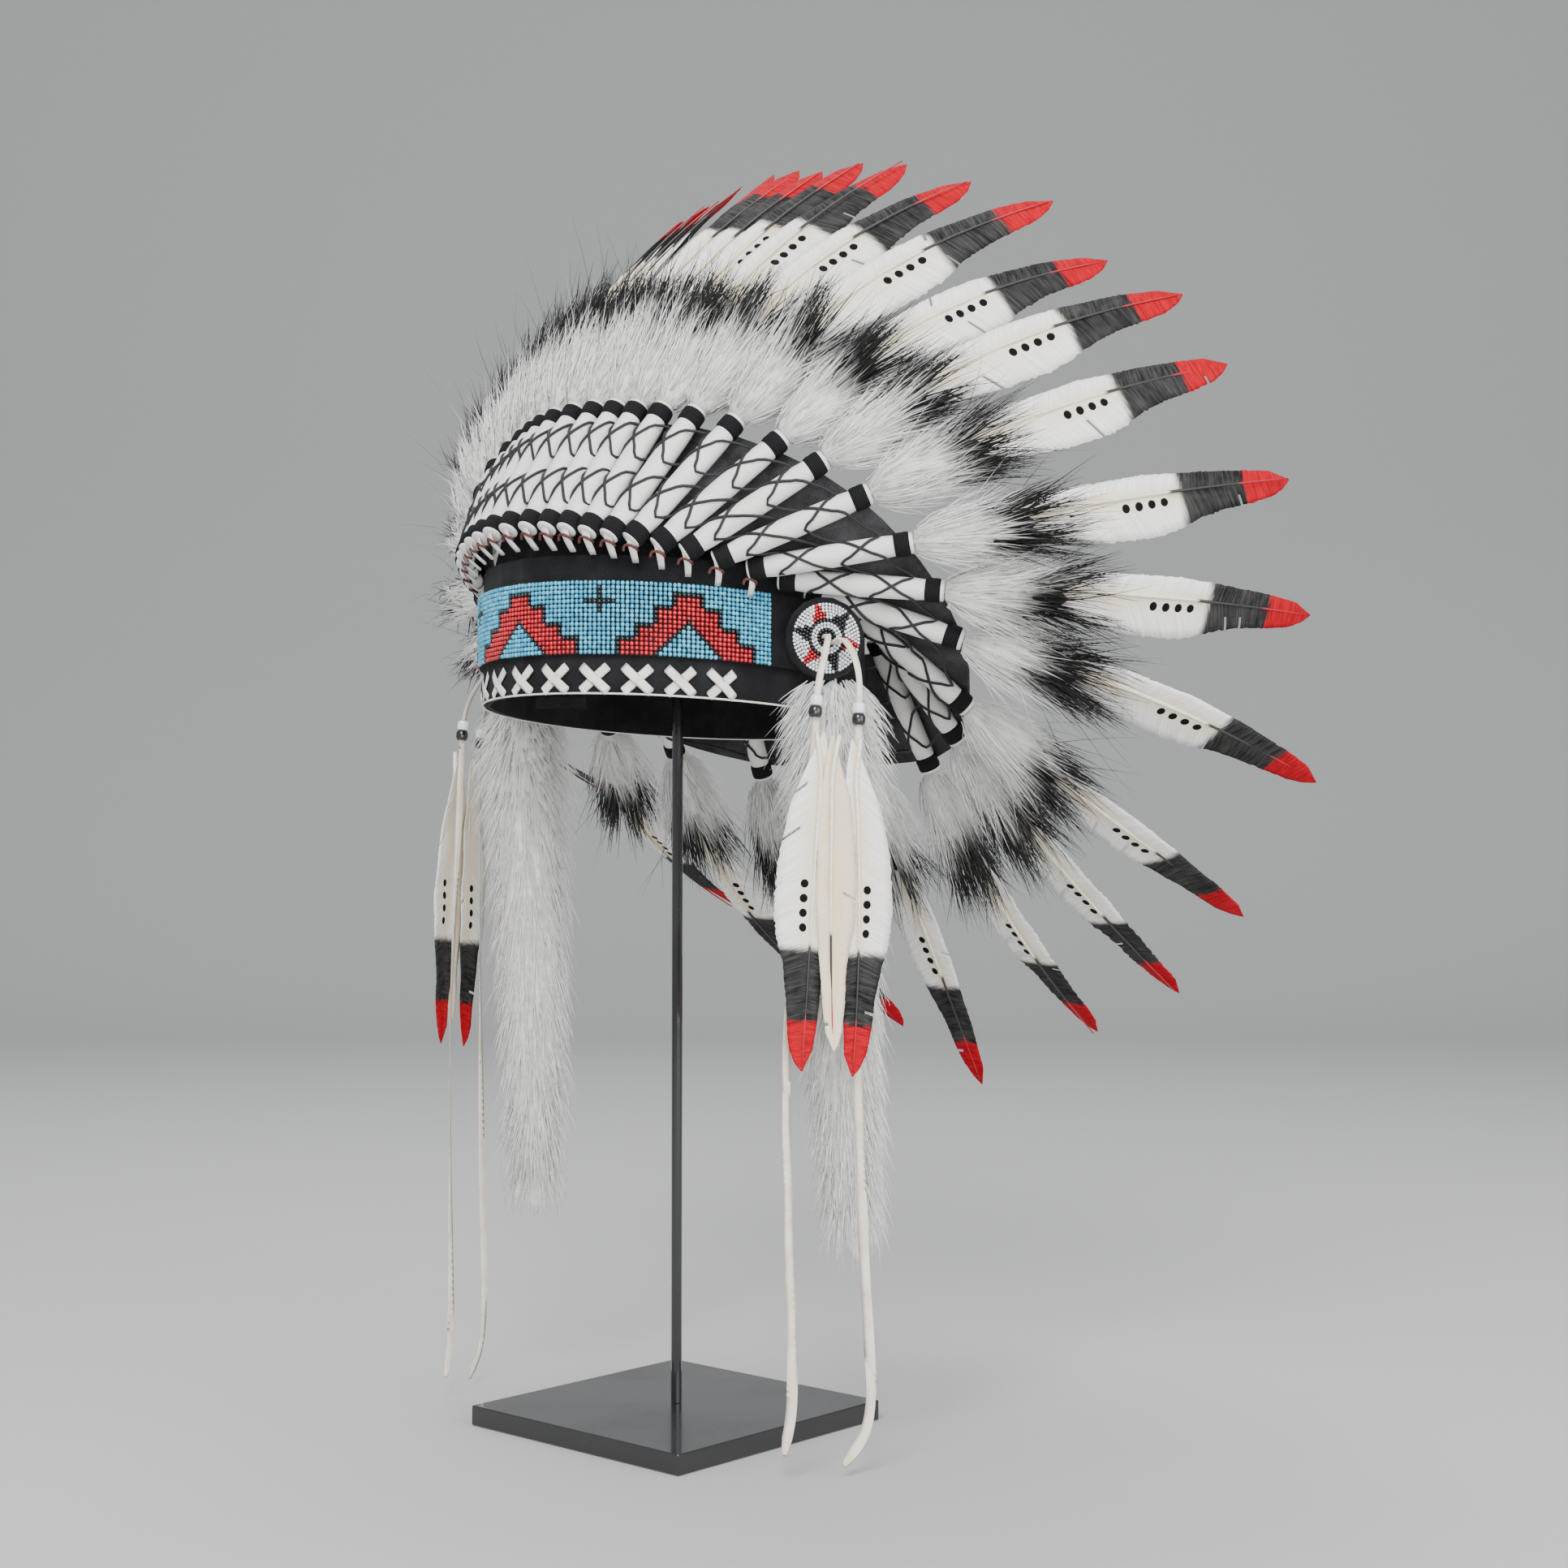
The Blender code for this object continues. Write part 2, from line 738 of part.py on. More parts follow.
def build_pendants(temple):
    for name, top, middle, bottom, out, drop, length, width in PENDANTS:
        full = PENDANT_LENGTH * length
        first = temple.at(top, out, drop)
        half = temple.at(middle, out + PENDANT_BOW, drop + full / 2)
        last = temple.at(bottom, out + PENDANT_BOW, drop + full)
        curve = (first, 2 * half - (first + last) / 2, last)
        rings = []
        rows = ((0.0, 0.10, 1.6),) + VANE_ROWS
        for share, wide, thick in rows:
            point, along = on_curve(curve, share)
            size = wide * width * PENDANT_WIDTH
            rings.append(section(point, along, temple.out, size, thick * VANE_THICK))
        label = "pendant_feather_" + name + "_" + temple.name
        add_object(label, loft(label, rings), FEATHER)


def lace_route(temple, rows):
    return smooth_route([temple.at(*row) for row in rows], LACE_POINTS)


def build_lace(temple, name, rows):
    """A free suede lace: a tube along a smooth route from the middle of the disc to its end."""
    label = "lace_" + name + "_" + temple.name
    curve = bpy.data.curves.new(label, "CURVE")
    curve.dimensions = "3D"
    curve.bevel_depth = LACE_DIAMETER / 2
    curve.bevel_resolution = 1
    curve.use_fill_caps = True
    spline = curve.splines.new("POLY")
    route = lace_route(temple, rows)
    spline.points.add(len(route) - 1)
    for point, place in zip(spline.points, route):
        point.co = (*place, 1.0)
    curve.materials.append(SUEDE)
    PARTS.objects.link(bpy.data.objects.new(label, curve))


def build_beads(temple, name, rows):
    """A white tube bead tight on a black pony bead, threaded on the lace."""
    route = lace_route(temple, rows)
    height = temple.centre.z - BEAD_DROPS[name]
    at = max(i for i, point in enumerate(route) if point.z > height)
    share = (route[at].z - height) / (route[at].z - route[at + 1].z)
    centre = route[at].lerp(route[at + 1], share)
    along = (route[at] - route[at + 1]).normalized()
    hole = LACE_DIAMETER / 2 + GAP
    tube, pony = TUBE_BEAD_DIAMETER / 2, PONY_BEAD_DIAMETER / 2
    profile = [
        (-PONY_BEAD_LENGTH, hole),
        (-PONY_BEAD_LENGTH, 0.85 * pony),
        (-PONY_BEAD_LENGTH / 2, pony + 0.0004),
        (0.0, 0.9 * pony),
        (0.0, tube),
        (TUBE_BEAD_LENGTH, tube),
        (TUBE_BEAD_LENGTH, hole),
    ]
    place = frame_at(centre, along, temple.out)
    label = "beads_" + name + "_" + temple.name
    rings = [circle(radius, 10, place, along) for along, radius in profile]
    add_object(label, loft(label, rings, closed=True), GLASS_BEADS)


clear_scene()
PARTS = new_collection("feathered_headdress")
HELPERS = new_collection("cutters", hidden=True)

BLACK_STEEL = material("black_steel", (0.012, 0.012, 0.013), 0.22, 0.3)
BLACK_FELT = material("black_felt", (0.012, 0.012, 0.013), 0.95)
GREY_FELT = material("grey_felt", (0.045, 0.045, 0.048), 0.95)
BLUE_BEADS = material("blue_beads", (0.07, 0.35, 0.52), 0.25)
WHITE_BEADS = material("white_beads", (0.62, 0.64, 0.68), 0.25)
WHITE_LEATHER = material("white_leather", (0.80, 0.79, 0.77), 0.5)
WHITE_FUR = material("white_fur", (0.84, 0.83, 0.80), 0.9)
FEATHER = material("feather", (0.82, 0.80, 0.76), 0.7)
SUEDE = material("suede", (0.80, 0.78, 0.72), 0.85)
GLASS_BEADS = material("glass_beads", (0.10, 0.10, 0.10), 0.2)

ROWS = crown_rows()
STATIONS = [Station(*row[:3]) for row in ROWS]
FINER = finer_stations(ROWS)

build_plate()
build_rod()
build_headband()
build_cap()
build_strip()
build_backing(FINER)
build_rolls(STATIONS)
build_collar(ROWS, STATIONS)
for number, (row, station) in enumerate(zip(ROWS, STATIONS), start=1):
    build_feather("feather_%02d" % number, station, *row[3:])
for row in TEMPLES:
    temple = Temple(*row)
    build_rosette(temple)
    build_tail(temple)
    build_pendants(temple)
    for name, lace in (("front", FRONT_LACE), ("back", BACK_LACE)):
        build_lace(temple, name, lace)
        build_beads(temple, name, lace)
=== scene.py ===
# %% [markdown]
# # A feathered headdress on its stand
# Thirty-two feathers stand in rolls of white leather round a felt band, with fur at each quill, a
# strip of seed beads over the brow, and a beaded disc with pendants at each temple. The packed
# model gives the sizes. This lesson dresses it: every soft or finely made piece is modelled again
# over its plain solid, in the same place, and the stand and the felts get better finishes.

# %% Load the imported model
import json
import math

import bmesh
import bpy
import numpy as np
from mathutils import Matrix, Vector

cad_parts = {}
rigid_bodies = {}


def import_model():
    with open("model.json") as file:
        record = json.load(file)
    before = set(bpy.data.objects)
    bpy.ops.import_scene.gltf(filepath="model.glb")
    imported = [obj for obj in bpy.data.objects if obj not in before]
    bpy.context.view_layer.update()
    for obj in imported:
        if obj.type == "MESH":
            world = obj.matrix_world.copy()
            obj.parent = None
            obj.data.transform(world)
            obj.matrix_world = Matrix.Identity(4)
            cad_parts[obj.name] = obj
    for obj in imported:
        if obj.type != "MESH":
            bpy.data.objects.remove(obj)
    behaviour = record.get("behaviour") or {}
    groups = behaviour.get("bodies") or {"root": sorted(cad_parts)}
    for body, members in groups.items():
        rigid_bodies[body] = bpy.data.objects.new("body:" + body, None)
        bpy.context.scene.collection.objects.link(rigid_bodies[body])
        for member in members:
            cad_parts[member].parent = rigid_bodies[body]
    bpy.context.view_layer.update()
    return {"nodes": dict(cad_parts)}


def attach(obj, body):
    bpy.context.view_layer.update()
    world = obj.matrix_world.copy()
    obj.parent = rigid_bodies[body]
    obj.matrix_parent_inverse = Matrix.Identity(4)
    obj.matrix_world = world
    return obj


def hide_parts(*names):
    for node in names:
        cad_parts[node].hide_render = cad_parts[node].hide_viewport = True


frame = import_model()
MM = 0.001
rng = np.random.default_rng(32)
print("nodes:", len(frame["nodes"]))

# %% [markdown]
# ## Camera, floor and light
# The photograph looks up a little from the height of the pendants, three-quarters on, with a long
# lens. A plain pale floor that sweeps up into a backdrop and four large soft lamps do the rest.

# %% Camera
CAMERA_AT = Vector((0.7584, -0.7717, 0.260))
CAMERA_TURN, CAMERA_TILT = math.radians(41.77), math.radians(2.44)
SENSOR_WIDTH, PHOTO_WIDTH, FOCAL_PIXELS = 36, 1932, 2750

lens = bpy.data.cameras.new("camera")
lens.lens = FOCAL_PIXELS / PHOTO_WIDTH * SENSOR_WIDTH
lens.sensor_width = SENSOR_WIDTH
camera = bpy.data.objects.new("camera", lens)
camera.location = CAMERA_AT
camera.rotation_euler = (math.pi / 2 + CAMERA_TILT, 0, CAMERA_TURN)
bpy.context.scene.collection.objects.link(camera)
bpy.context.scene.camera = camera
print("lens: %.1f mm" % lens.lens)


# %% Floor and backdrop, one sheet swept up at the back
def stage_sheet(name, half_width, profile, colour):
    """Sweeps a side profile of (back, height) points across the view, square to the camera."""
    bm = bmesh.new()
    row = [bm.verts.new((-half_width, back, height)) for back, height in profile]
    edges = [bm.edges.new(pair) for pair in zip(row, row[1:])]
    swept = bmesh.ops.extrude_edge_only(bm, edges=edges)
    moved = [v for v in swept["geom"] if isinstance(v, bmesh.types.BMVert)]
    bmesh.ops.translate(bm, vec=(2 * half_width, 0, 0), verts=moved)
    bmesh.ops.rotate(bm, cent=(0, 0, 0), matrix=Matrix.Rotation(CAMERA_TURN, 3, "Z"), verts=bm.verts)
    bmesh.ops.recalc_face_normals(bm, faces=bm.faces)
    mesh = bpy.data.meshes.new(name)
    bm.to_mesh(mesh)
    bm.free()
    mesh.shade_smooth()
    sheet = bpy.data.objects.new(name, mesh)
    bpy.context.scene.collection.objects.link(sheet)
    paint = bpy.data.materials.new(name)
    paint.use_nodes = True
    coat = paint.node_tree.nodes["Principled BSDF"].inputs
    coat["Base Color"].default_value, coat["Roughness"].default_value = (*colour, 1), 0.8
    mesh.materials.append(paint)


STAGE_HALF_WIDTH, FLOOR_FRONT, BACKDROP_TOP = 9.0, -6.0, 6.0
SWEEP_START, SWEEP = 2.6, 1.2
sweep = [
    (SWEEP_START + SWEEP * math.sin(a), SWEEP - SWEEP * math.cos(a)) for a in np.linspace(0, math.pi / 2, 12)
]
side_profile = [(FLOOR_FRONT, 0.0), *sweep, (SWEEP_START + SWEEP, BACKDROP_TOP)]
stage_sheet("floor", STAGE_HALF_WIDTH, side_profile, (0.50, 0.50, 0.49))


# %% Soft lamps
LIT_POINT = Vector((0, 0, 0.36))
LAMPS = (
    # name, place, size in metres, power in watts
    ("key_lamp", (0.9, -1.5, 1.7), 1.0, 52),
    ("fill_lamp", (2.2, 0.2, 0.9), 1.8, 36),
    ("top_lamp", (-0.7, 0.5, 2.2), 1.4, 28),
    ("low_lamp", (1.5, -1.3, 0.12), 1.2, 28),
)
for name, place, size, power in LAMPS:
    light = bpy.data.lights.new(name, "AREA")
    light.shape, light.size, light.energy = "SQUARE", size, power
    lamp = bpy.data.objects.new(name, light)
    lamp.location = place
    lamp.rotation_euler = (LIT_POINT - lamp.location).to_track_quat("-Z", "Y").to_euler()
    bpy.context.scene.collection.objects.link(lamp)
world = bpy.data.worlds.new("studio")
world.use_nodes = True
sky = world.node_tree.nodes["Background"].inputs
sky["Color"].default_value, sky["Strength"].default_value = (0.92, 0.95, 1.0, 1), 0.70
bpy.context.scene.world = world
print("lamps:", len(LAMPS))

# %% [markdown]
# ## Shader sums in plain Python
# A material is easier to read as a formula than as a list of links. `Wire` stands for one value in
# a node tree, and the usual operators on it add Math nodes, so `1 - edge * 0.3` is a real shader.
# `Finish` is one material: `node` puts in any node, and the rest are short names for common ones.


# %% The shader helpers
class Wire:
    def __init__(self, tree, socket):
        self.tree, self.socket = tree, socket

    def sum(self, operation, *others, clamp=False):
        node = self.tree.nodes.new("ShaderNodeMath")
        node.operation, node.use_clamp = operation, clamp
        for value, socket in zip((self, *others), node.inputs):
            plug(self.tree, value, socket)
        return Wire(self.tree, node.outputs[0])

    def __add__(self, other):
        return self.sum("ADD", other)

    def __sub__(self, other):
        return self.sum("SUBTRACT", other)

    def __rsub__(self, other):
        return self * -1.0 + other

    def __mul__(self, other):
        return self.sum("MULTIPLY", other)

    def __truediv__(self, other):
        return self.sum("DIVIDE", other)

    __radd__, __rmul__ = __add__, __mul__

    def step(self, low, high):
        """0 below low and 1 above high, with a smooth rise between; high below low turns it round."""
        node = self.tree.nodes.new("ShaderNodeMapRange")
        node.interpolation_type = "SMOOTHSTEP"
        turned = high < low
        ends = (high, low, 1.0, 0.0) if turned else (low, high, 0.0, 1.0)
        plug(self.tree, self, node.inputs["Value"])
        for name, value in zip(("From Min", "From Max", "To Min", "To Max"), ends):
            node.inputs[name].default_value = value
        return Wire(self.tree, node.outputs["Result"])


def plug(tree, value, socket):
    """Links a Wire into a socket, or sets a plain value on it."""
    if isinstance(value, Wire):
        tree.links.new(value.socket, socket)
    elif socket.type == "RGBA" and len(value) == 3:
        socket.default_value = (*value, 1.0)
    else:
        socket.default_value = value


class Finish:
    def __init__(self, name, **constants):
        self.material = bpy.data.materials.new(name)
        self.material.use_nodes = True
        self.tree = self.material.node_tree
        self.shader = self.tree.nodes["Principled BSDF"]
        self.use(**constants)

    def node(self, kind, output, settings=(), **inputs):
        made = self.tree.nodes.new("ShaderNode" + kind)
        for key, value in dict(settings).items():
            setattr(made, key, value)
        for key, value in inputs.items():
            plug(self.tree, value, made.inputs[key.replace("_", " ")])
        return Wire(self.tree, made.outputs[output])

    def own(self, name):
        """A number that the piece carries at each point."""
        return self.node("Attribute", "Fac", {"attribute_name": name})

    def place(self):
        return self.node("TexCoord", "Object")

    def uv(self, name):
        """The two numbers of the piece's own map."""
        split = self.node("SeparateXYZ", "X", Vector=self.node("UVMap", "UV", {"uv_map": name}))
        return split, Wire(self.tree, split.socket.node.outputs["Y"])

    def point(self, x, y, z=0.0):
        return self.node("CombineXYZ", "Vector", X=x, Y=y, Z=z)

    def noise(self, scale, detail=3.0, rough=0.55, at=None):
        at = at or self.place()
        return self.node("TexNoise", "Fac", Vector=at, Scale=scale, Detail=detail, Roughness=rough)

    def mix(self, share, first, second):
        made = self.tree.nodes.new("ShaderNodeMix")
        made.data_type = "RGBA"
        for value, socket in ((share, "Factor_Float"), (first, "A_Color"), (second, "B_Color")):
            plug(self.tree, value, next(s for s in made.inputs if s.identifier == socket))
        return Wire(self.tree, next(s for s in made.outputs if s.identifier == "Result_Color"))

    def bump(self, height, depth, strength=1.0):
        """Raises the surface by height, a number from 0 to 1, times depth in metres."""
        return self.node("Bump", "Normal", Strength=strength, Distance=depth, Height=height)

    def use(self, **inputs):
        for key, value in inputs.items():
            plug(self.tree, value, self.shader.inputs[key.replace("_", " ")])
        return self.material


# %% [markdown]
# ## Finishes
# Each finish has the detail of the real one at its real size: fibres a few tenths of a millimetre
# wide on the felt, a fine grain on the leather, thread round the wraps, barbs on the feathers.


# %% Black paint, felt, leather and suede
def black_paint():
    coat = Finish("black_paint", Base_Color=(0.008, 0.008, 0.009), Coat_Weight=0.6, Coat_Roughness=0.05)
    smears = coat.noise(14.0, 4.0)
    return coat.use(Roughness=0.16 + 0.16 * smears.step(0.35, 0.75))


def felt(name, dark, light):
    wool = Finish(name, Roughness=0.96, Specular_IOR_Level=0.2, Sheen_Weight=0.04, Sheen_Roughness=0.6)
    fibres = wool.noise(1900.0, 3.0, 0.7)
    clouds = wool.noise(46.0, 4.0, 0.6)
    height = fibres * 0.7 + clouds * 0.3
    shade = wool.mix((clouds * 0.6 + fibres * 0.4).step(0.36, 0.68), dark, light)
    return wool.use(Base_Color=shade, Normal=wool.bump(height, 0.5 * MM, 0.8))


def white_leather():
    hide = Finish("white_leather", Specular_IOR_Level=0.45)
    edges = {"feature": "DISTANCE_TO_EDGE"}
    grain = hide.node("TexVoronoi", "Distance", edges, Vector=hide.place(), Scale=1300.0)
    creases = hide.noise(260.0, 4.0, 0.6)
    dirt = hide.noise(70.0, 5.0, 0.65)
    shade = hide.mix(dirt.step(0.50, 0.78) * 0.5, (0.80, 0.79, 0.77), (0.60, 0.57, 0.52))
    height = grain.step(0.0, 0.12) * 0.35 + creases * 0.65
    rough = 0.42 + 0.2 * creases
    return hide.use(Base_Color=shade, Roughness=rough, Normal=hide.bump(height, 0.25 * MM, 0.6))


def suede(name, pale, deep):
    nap = Finish(name, Roughness=0.92, Sheen_Weight=0.25, Sheen_Roughness=0.5)
    fibres = nap.noise(1500.0, 4.0, 0.7)
    patches = nap.noise(110.0, 4.0)
    shade = nap.mix(patches.step(0.35, 0.75), pale, deep)
    return nap.use(Base_Color=shade, Normal=nap.bump(fibres * 0.8 + patches * 0.2, 0.3 * MM, 0.7))


def wound_thread():
    """Turns of thread lie along the wrap's own v, which counts them."""
    thread = Finish("black_thread", Specular_IOR_Level=0.15)
    around, turns = thread.uv("UVMap")
    wave = (turns * math.tau + thread.noise(300.0) * 0.8).sum("SINE") * 0.5 + 0.5
    fuzz = thread.noise(2600.0, 2.0)
    # Painted shade: the thread's colour darkens in the grooves between the turns, where the bump is low; the
    # fuzz adds random tone.
    shade = thread.mix(wave * 0.5 + fuzz * 0.4, (0.003, 0.003, 0.004), (0.018, 0.018, 0.020))
    return thread.use(Base_Color=shade, Roughness=0.72 + 0.2 * fuzz, Normal=thread.bump(wave, 0.3 * MM))


def waxed_cord(name, dark, light):
    cord = Finish(name)
    strands = cord.noise(1200.0, 3.0)
    shade = cord.mix(strands.step(0.35, 0.7), dark, light)
    return cord.use(Base_Color=shade, Roughness=0.5 + 0.3 * strands, Normal=cord.bump(strands, 0.2 * MM))


BLACK_PAINT = black_paint()
BLACK_FELT = felt("black_felt", (0.003, 0.003, 0.004), (0.018, 0.018, 0.020))
GREY_FELT = felt("grey_felt", (0.014, 0.014, 0.015), (0.075, 0.075, 0.078))
WHITE_LEATHER = white_leather()
CREAM_SUEDE = suede("cream_suede", (0.80, 0.74, 0.63), (0.66, 0.58, 0.45))
WHITE_THONG = suede("white_thong", (0.84, 0.82, 0.78), (0.70, 0.66, 0.59))
BLACK_THREAD = wound_thread()
BLACK_CORD = waxed_cord("black_cord", (0.003, 0.003, 0.004), (0.016, 0.016, 0.018))
RUSSET_THONG = waxed_cord("russet_thong", (0.050, 0.010, 0.009), (0.15, 0.036, 0.030))


# %% Beads: glass with a small difference from one bead to the next
def bead_glass(name, deep, pale, rough=0.16):
    glass = Finish(name, Coat_Weight=0.5, Coat_Roughness=0.08)
    shade = glass.mix(glass.own("tone"), deep, pale)
    clouds = glass.noise(900.0, 2.0)
    return glass.use(Base_Color=shade, Roughness=rough + 0.12 * clouds)


BEAD_GLASS = {
    "blue": bead_glass("blue_glass", (0.035, 0.29, 0.47), (0.13, 0.52, 0.71)),
    "red": bead_glass("red_glass", (0.33, 0.004, 0.010), (0.60, 0.012, 0.024)),
    "black": bead_glass("black_glass", (0.004, 0.004, 0.005), (0.014, 0.014, 0.016)),
    "white": bead_glass("white_glass", (0.66, 0.69, 0.74), (0.90, 0.92, 0.94)),
}


# %% Fur and feather
def fur():
    """White hair that darkens to black where the piece's own "dark" says so."""
    hair = Finish("white_fur", Roughness=0.62, Specular_IOR_Level=0.2, Sheen_Weight=0.06)
    tone = hair.own("tone")
    white = hair.mix(tone, (0.84, 0.83, 0.80), (0.97, 0.97, 0.96))
    black = hair.mix(tone, (0.002, 0.002, 0.002), (0.018, 0.017, 0.016))
    return hair.use(Base_Color=hair.mix(hair.own("dark"), white, black))


def fur_mass():
    """The close undercoat that shows between the hairs."""
    hair = Finish("fur_undercoat", Roughness=0.95)
    around, along = hair.uv("UVMap")
    locks = hair.noise(1.0, 5.0, 0.65, at=hair.point(around * 60.0, along * 5.0))
    white = hair.mix(locks.step(0.3, 0.7), (0.76, 0.75, 0.72), (0.95, 0.94, 0.92))
    shade = hair.mix(hair.own("dark"), white, (0.020, 0.019, 0.018))
    return hair.use(Base_Color=shade, Normal=hair.bump(locks, 1.2 * MM))


WHITE_ENDS, GREY_ENDS = 0.640, 0.852
DOT_PITCH, DOT_FIRST, DOT_SIZE = 0.043, 0.452, 0.0128
DOT_ASIDE, WEB_SHARE = 0.24, 0.115


def vane(name, banded):
    """Barbs run along the map "barb"; the dyed bands and the dots lie on the map "place"."""
    web = Finish(name, Roughness=0.80, Specular_IOR_Level=0.12)
    barb, out = web.uv("barb")
    along, across = web.uv("place")
    tone = web.own("tone")
    streaks = web.noise(1.0, 4.0, 0.6, at=web.point(barb * 150.0, out * 1.6, tone * 9.0))
    clouds = web.noise(1.0, 3.0, 0.5, at=web.point(barb * 9.0, out * 2.2, tone * 31.0))
    near_shaft = 1 - across.sum("ABSOLUTE").step(0.0, 0.75)
    white = web.mix(streaks.step(0.30, 0.70), (0.74, 0.72, 0.67), (0.95, 0.945, 0.92))
    cream_share = (clouds * 0.7 + near_shaft * 0.5).step(0.35, 0.95) * (0.75 if banded else 1.0)
    cream = (0.80, 0.68, 0.48) if banded else (0.77, 0.62, 0.40)
    shade = web.mix(cream_share if banded else 0.7 + cream_share * 0.3, white, cream)
    if banded:
        smoke = (streaks * 0.7 + clouds * 0.3).step(0.30, 0.72)
        grey = web.mix(smoke, (0.004, 0.004, 0.004), (0.060, 0.058, 0.057))
        red = web.mix(streaks.step(0.25, 0.75), (0.28, 0.001, 0.006), (0.52, 0.004, 0.017))
        ragged = along + (streaks - 0.5) * 0.035 + (clouds - 0.5) * 0.02
        shade = web.mix(ragged.step(WHITE_ENDS - 0.014, WHITE_ENDS + 0.016), shade, grey)
        shade = web.mix(ragged.step(GREY_ENDS - 0.007, GREY_ENDS + 0.010), shade, red)
        turn = (along - DOT_FIRST) / DOT_PITCH
        nearest = turn.sum("ROUND").sum("MAXIMUM", 0.0).sum("MINIMUM", 3.0)
        off_along = (turn - nearest) * DOT_PITCH
        off_across = (across - DOT_ASIDE) * WEB_SHARE
        gap = (off_along * off_along + off_across * off_across).sum("SQRT")
        shade = web.mix(gap.step(DOT_SIZE * 1.08, DOT_SIZE * 0.92), shade, (0.004, 0.004, 0.004))
    lines = (barb * 1100.0).sum("SINE") * 0.5 + 0.5
    height = lines * 0.3 + streaks * 0.7
    return web.use(Base_Color=shade, Normal=web.bump(height, 0.25 * MM, 0.6))


def shaft():
    quill = Finish("quill", Specular_IOR_Level=0.5)
    along = quill.own("along")
    streaks = quill.noise(420.0, 3.0)
    pale = quill.mix(streaks.step(0.3, 0.7), (0.78, 0.70, 0.56), (0.88, 0.84, 0.75))
    shade = quill.mix(along.step(WHITE_ENDS - 0.01, WHITE_ENDS + 0.01), pale, (0.030, 0.028, 0.028))
    shade = quill.mix(along.step(GREY_ENDS - 0.01, GREY_ENDS + 0.01), shade, (0.40, 0.012, 0.020))
    return quill.use(Base_Color=shade, Roughness=0.38 + 0.2 * streaks)


FUR, FUR_MASS = fur(), fur_mass()
DYED_VANE, PLAIN_VANE, SHAFT = vane("dyed_vane", True), vane("plain_vane", False), shaft()
print("materials:", len(bpy.data.materials))

# %% [markdown]
# ## Ways of making a mesh
# Nearly every piece here is either a sheet bent into place, or many copies of one small shape. So
# two helpers do most of the work: `sheet` bends a grid by a formula, and `many` joins copies of a
# template, each in its own place. `piece` turns the result into an object that rides on the body.


# %% Pieces, sheets and copies
def piece(name, mesh, finishes, replaced=()):
    """Makes an object of a mesh or a bmesh, with its finishes, on the one body there is."""
    mesh = mesh_from(mesh) if isinstance(mesh, bmesh.types.BMesh) else mesh
    mesh.name = name
    obj = bpy.data.objects.new(name, mesh)
    bpy.context.scene.collection.objects.link(obj)
    for finish in finishes if isinstance(finishes, (list, tuple)) else [finishes]:
        mesh.materials.append(finish)
    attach(obj, "root")
    if replaced:
        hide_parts(*replaced)
    print("%-26s %7d faces" % (name, len(mesh.polygons)))
    return obj


def mesh_from(bm):
    mesh = bpy.data.meshes.new("piece")
    bm.to_mesh(mesh)
    bm.free()
    mesh.shade_smooth()
    return mesh


def template(bm):
    """A small finished shape as arrays, ready to be copied: its points, its faces and its map."""
    uv = bm.loops.layers.uv.active
    bm.verts.index_update()
    points = np.array([v.co for v in bm.verts])
    faces = [[v.index for v in f.verts] for f in bm.faces]
    maps = np.array([loop[uv].uv for f in bm.faces for loop in f.loops]) if uv else None
    bm.free()
    return points, faces, maps


def joined(points, faces, maps=None, tones=None, kinds=None, **values):
    """One mesh of many copies: points is (copies, corners, 3), the faces are those of one copy."""
    copies, corners = points.shape[:2]
    sizes = np.array([len(f) for f in faces])
    flat = np.concatenate([np.array(f) for f in faces])
    loops = (flat[None, :] + corners * np.arange(copies)[:, None]).ravel()
    mesh = bpy.data.meshes.new("copies")
    mesh.vertices.add(copies * corners)
    mesh.vertices.foreach_set("co", points.astype(np.float32).ravel())
    mesh.loops.add(len(loops))
    mesh.loops.foreach_set("vertex_index", loops.astype(np.int32))
    mesh.polygons.add(copies * len(faces))
    all_sizes = np.tile(sizes, copies)
    starts = np.concatenate([[0], np.cumsum(all_sizes)[:-1]])
    mesh.polygons.foreach_set("loop_start", starts.astype(np.int32))
    if maps is not None:
        layer = mesh.uv_layers.new(name="UVMap")
        layer.data.foreach_set("uv", np.tile(maps, (copies, 1)).astype(np.float32).ravel())
    if kinds is not None:
        mesh.polygons.foreach_set("material_index", np.repeat(kinds, len(faces)).astype(np.int32))
    if tones is not None:
        values["tone"] = np.repeat(tones, corners)
    for key, numbers in values.items():
        held = mesh.attributes.new(key, "FLOAT", "POINT")
        held.data.foreach_set("value", np.asarray(numbers, np.float32).ravel())
    mesh.update()
    mesh.validate()
    mesh.shade_smooth()
    return mesh


def many(shape, places, **more):
    """Copies of a template at each 4 by 4 place."""
    points, faces, maps = shape
    places = np.array([np.array(place) for place in places])
    moved = np.einsum("nij,kj->nki", places[:, :3, :3], points) + places[:, None, :3, 3]
    return joined(moved, faces, maps, **more)


def sheet(columns, rows, bend, maps=("UVMap",)):
    """A grid bent by bend(u, v), u and v from 0 to 1, which its map keeps."""
    bm = bmesh.new()
    layers = [bm.loops.layers.uv.new(name) for name in maps]
    bmesh.ops.create_grid(bm, x_segments=columns, y_segments=rows, size=0.5)
    ends = {v: (v.co.x + 0.5, v.co.y + 0.5) for v in bm.verts}
    for layer in layers:
        for f in bm.faces:
            for loop in f.loops:
                loop[layer].uv = ends[loop.vert]
    for v, (a, b) in ends.items():
        v.co = bend(a, b)
    return bm


def thickened(bm, thickness):
    """Gives a sheet its thickness and turns its faces outwards."""
    bmesh.ops.solidify(bm, geom=bm.faces, thickness=thickness)
    bmesh.ops.recalc_face_normals(bm, faces=bm.faces)
    return bm


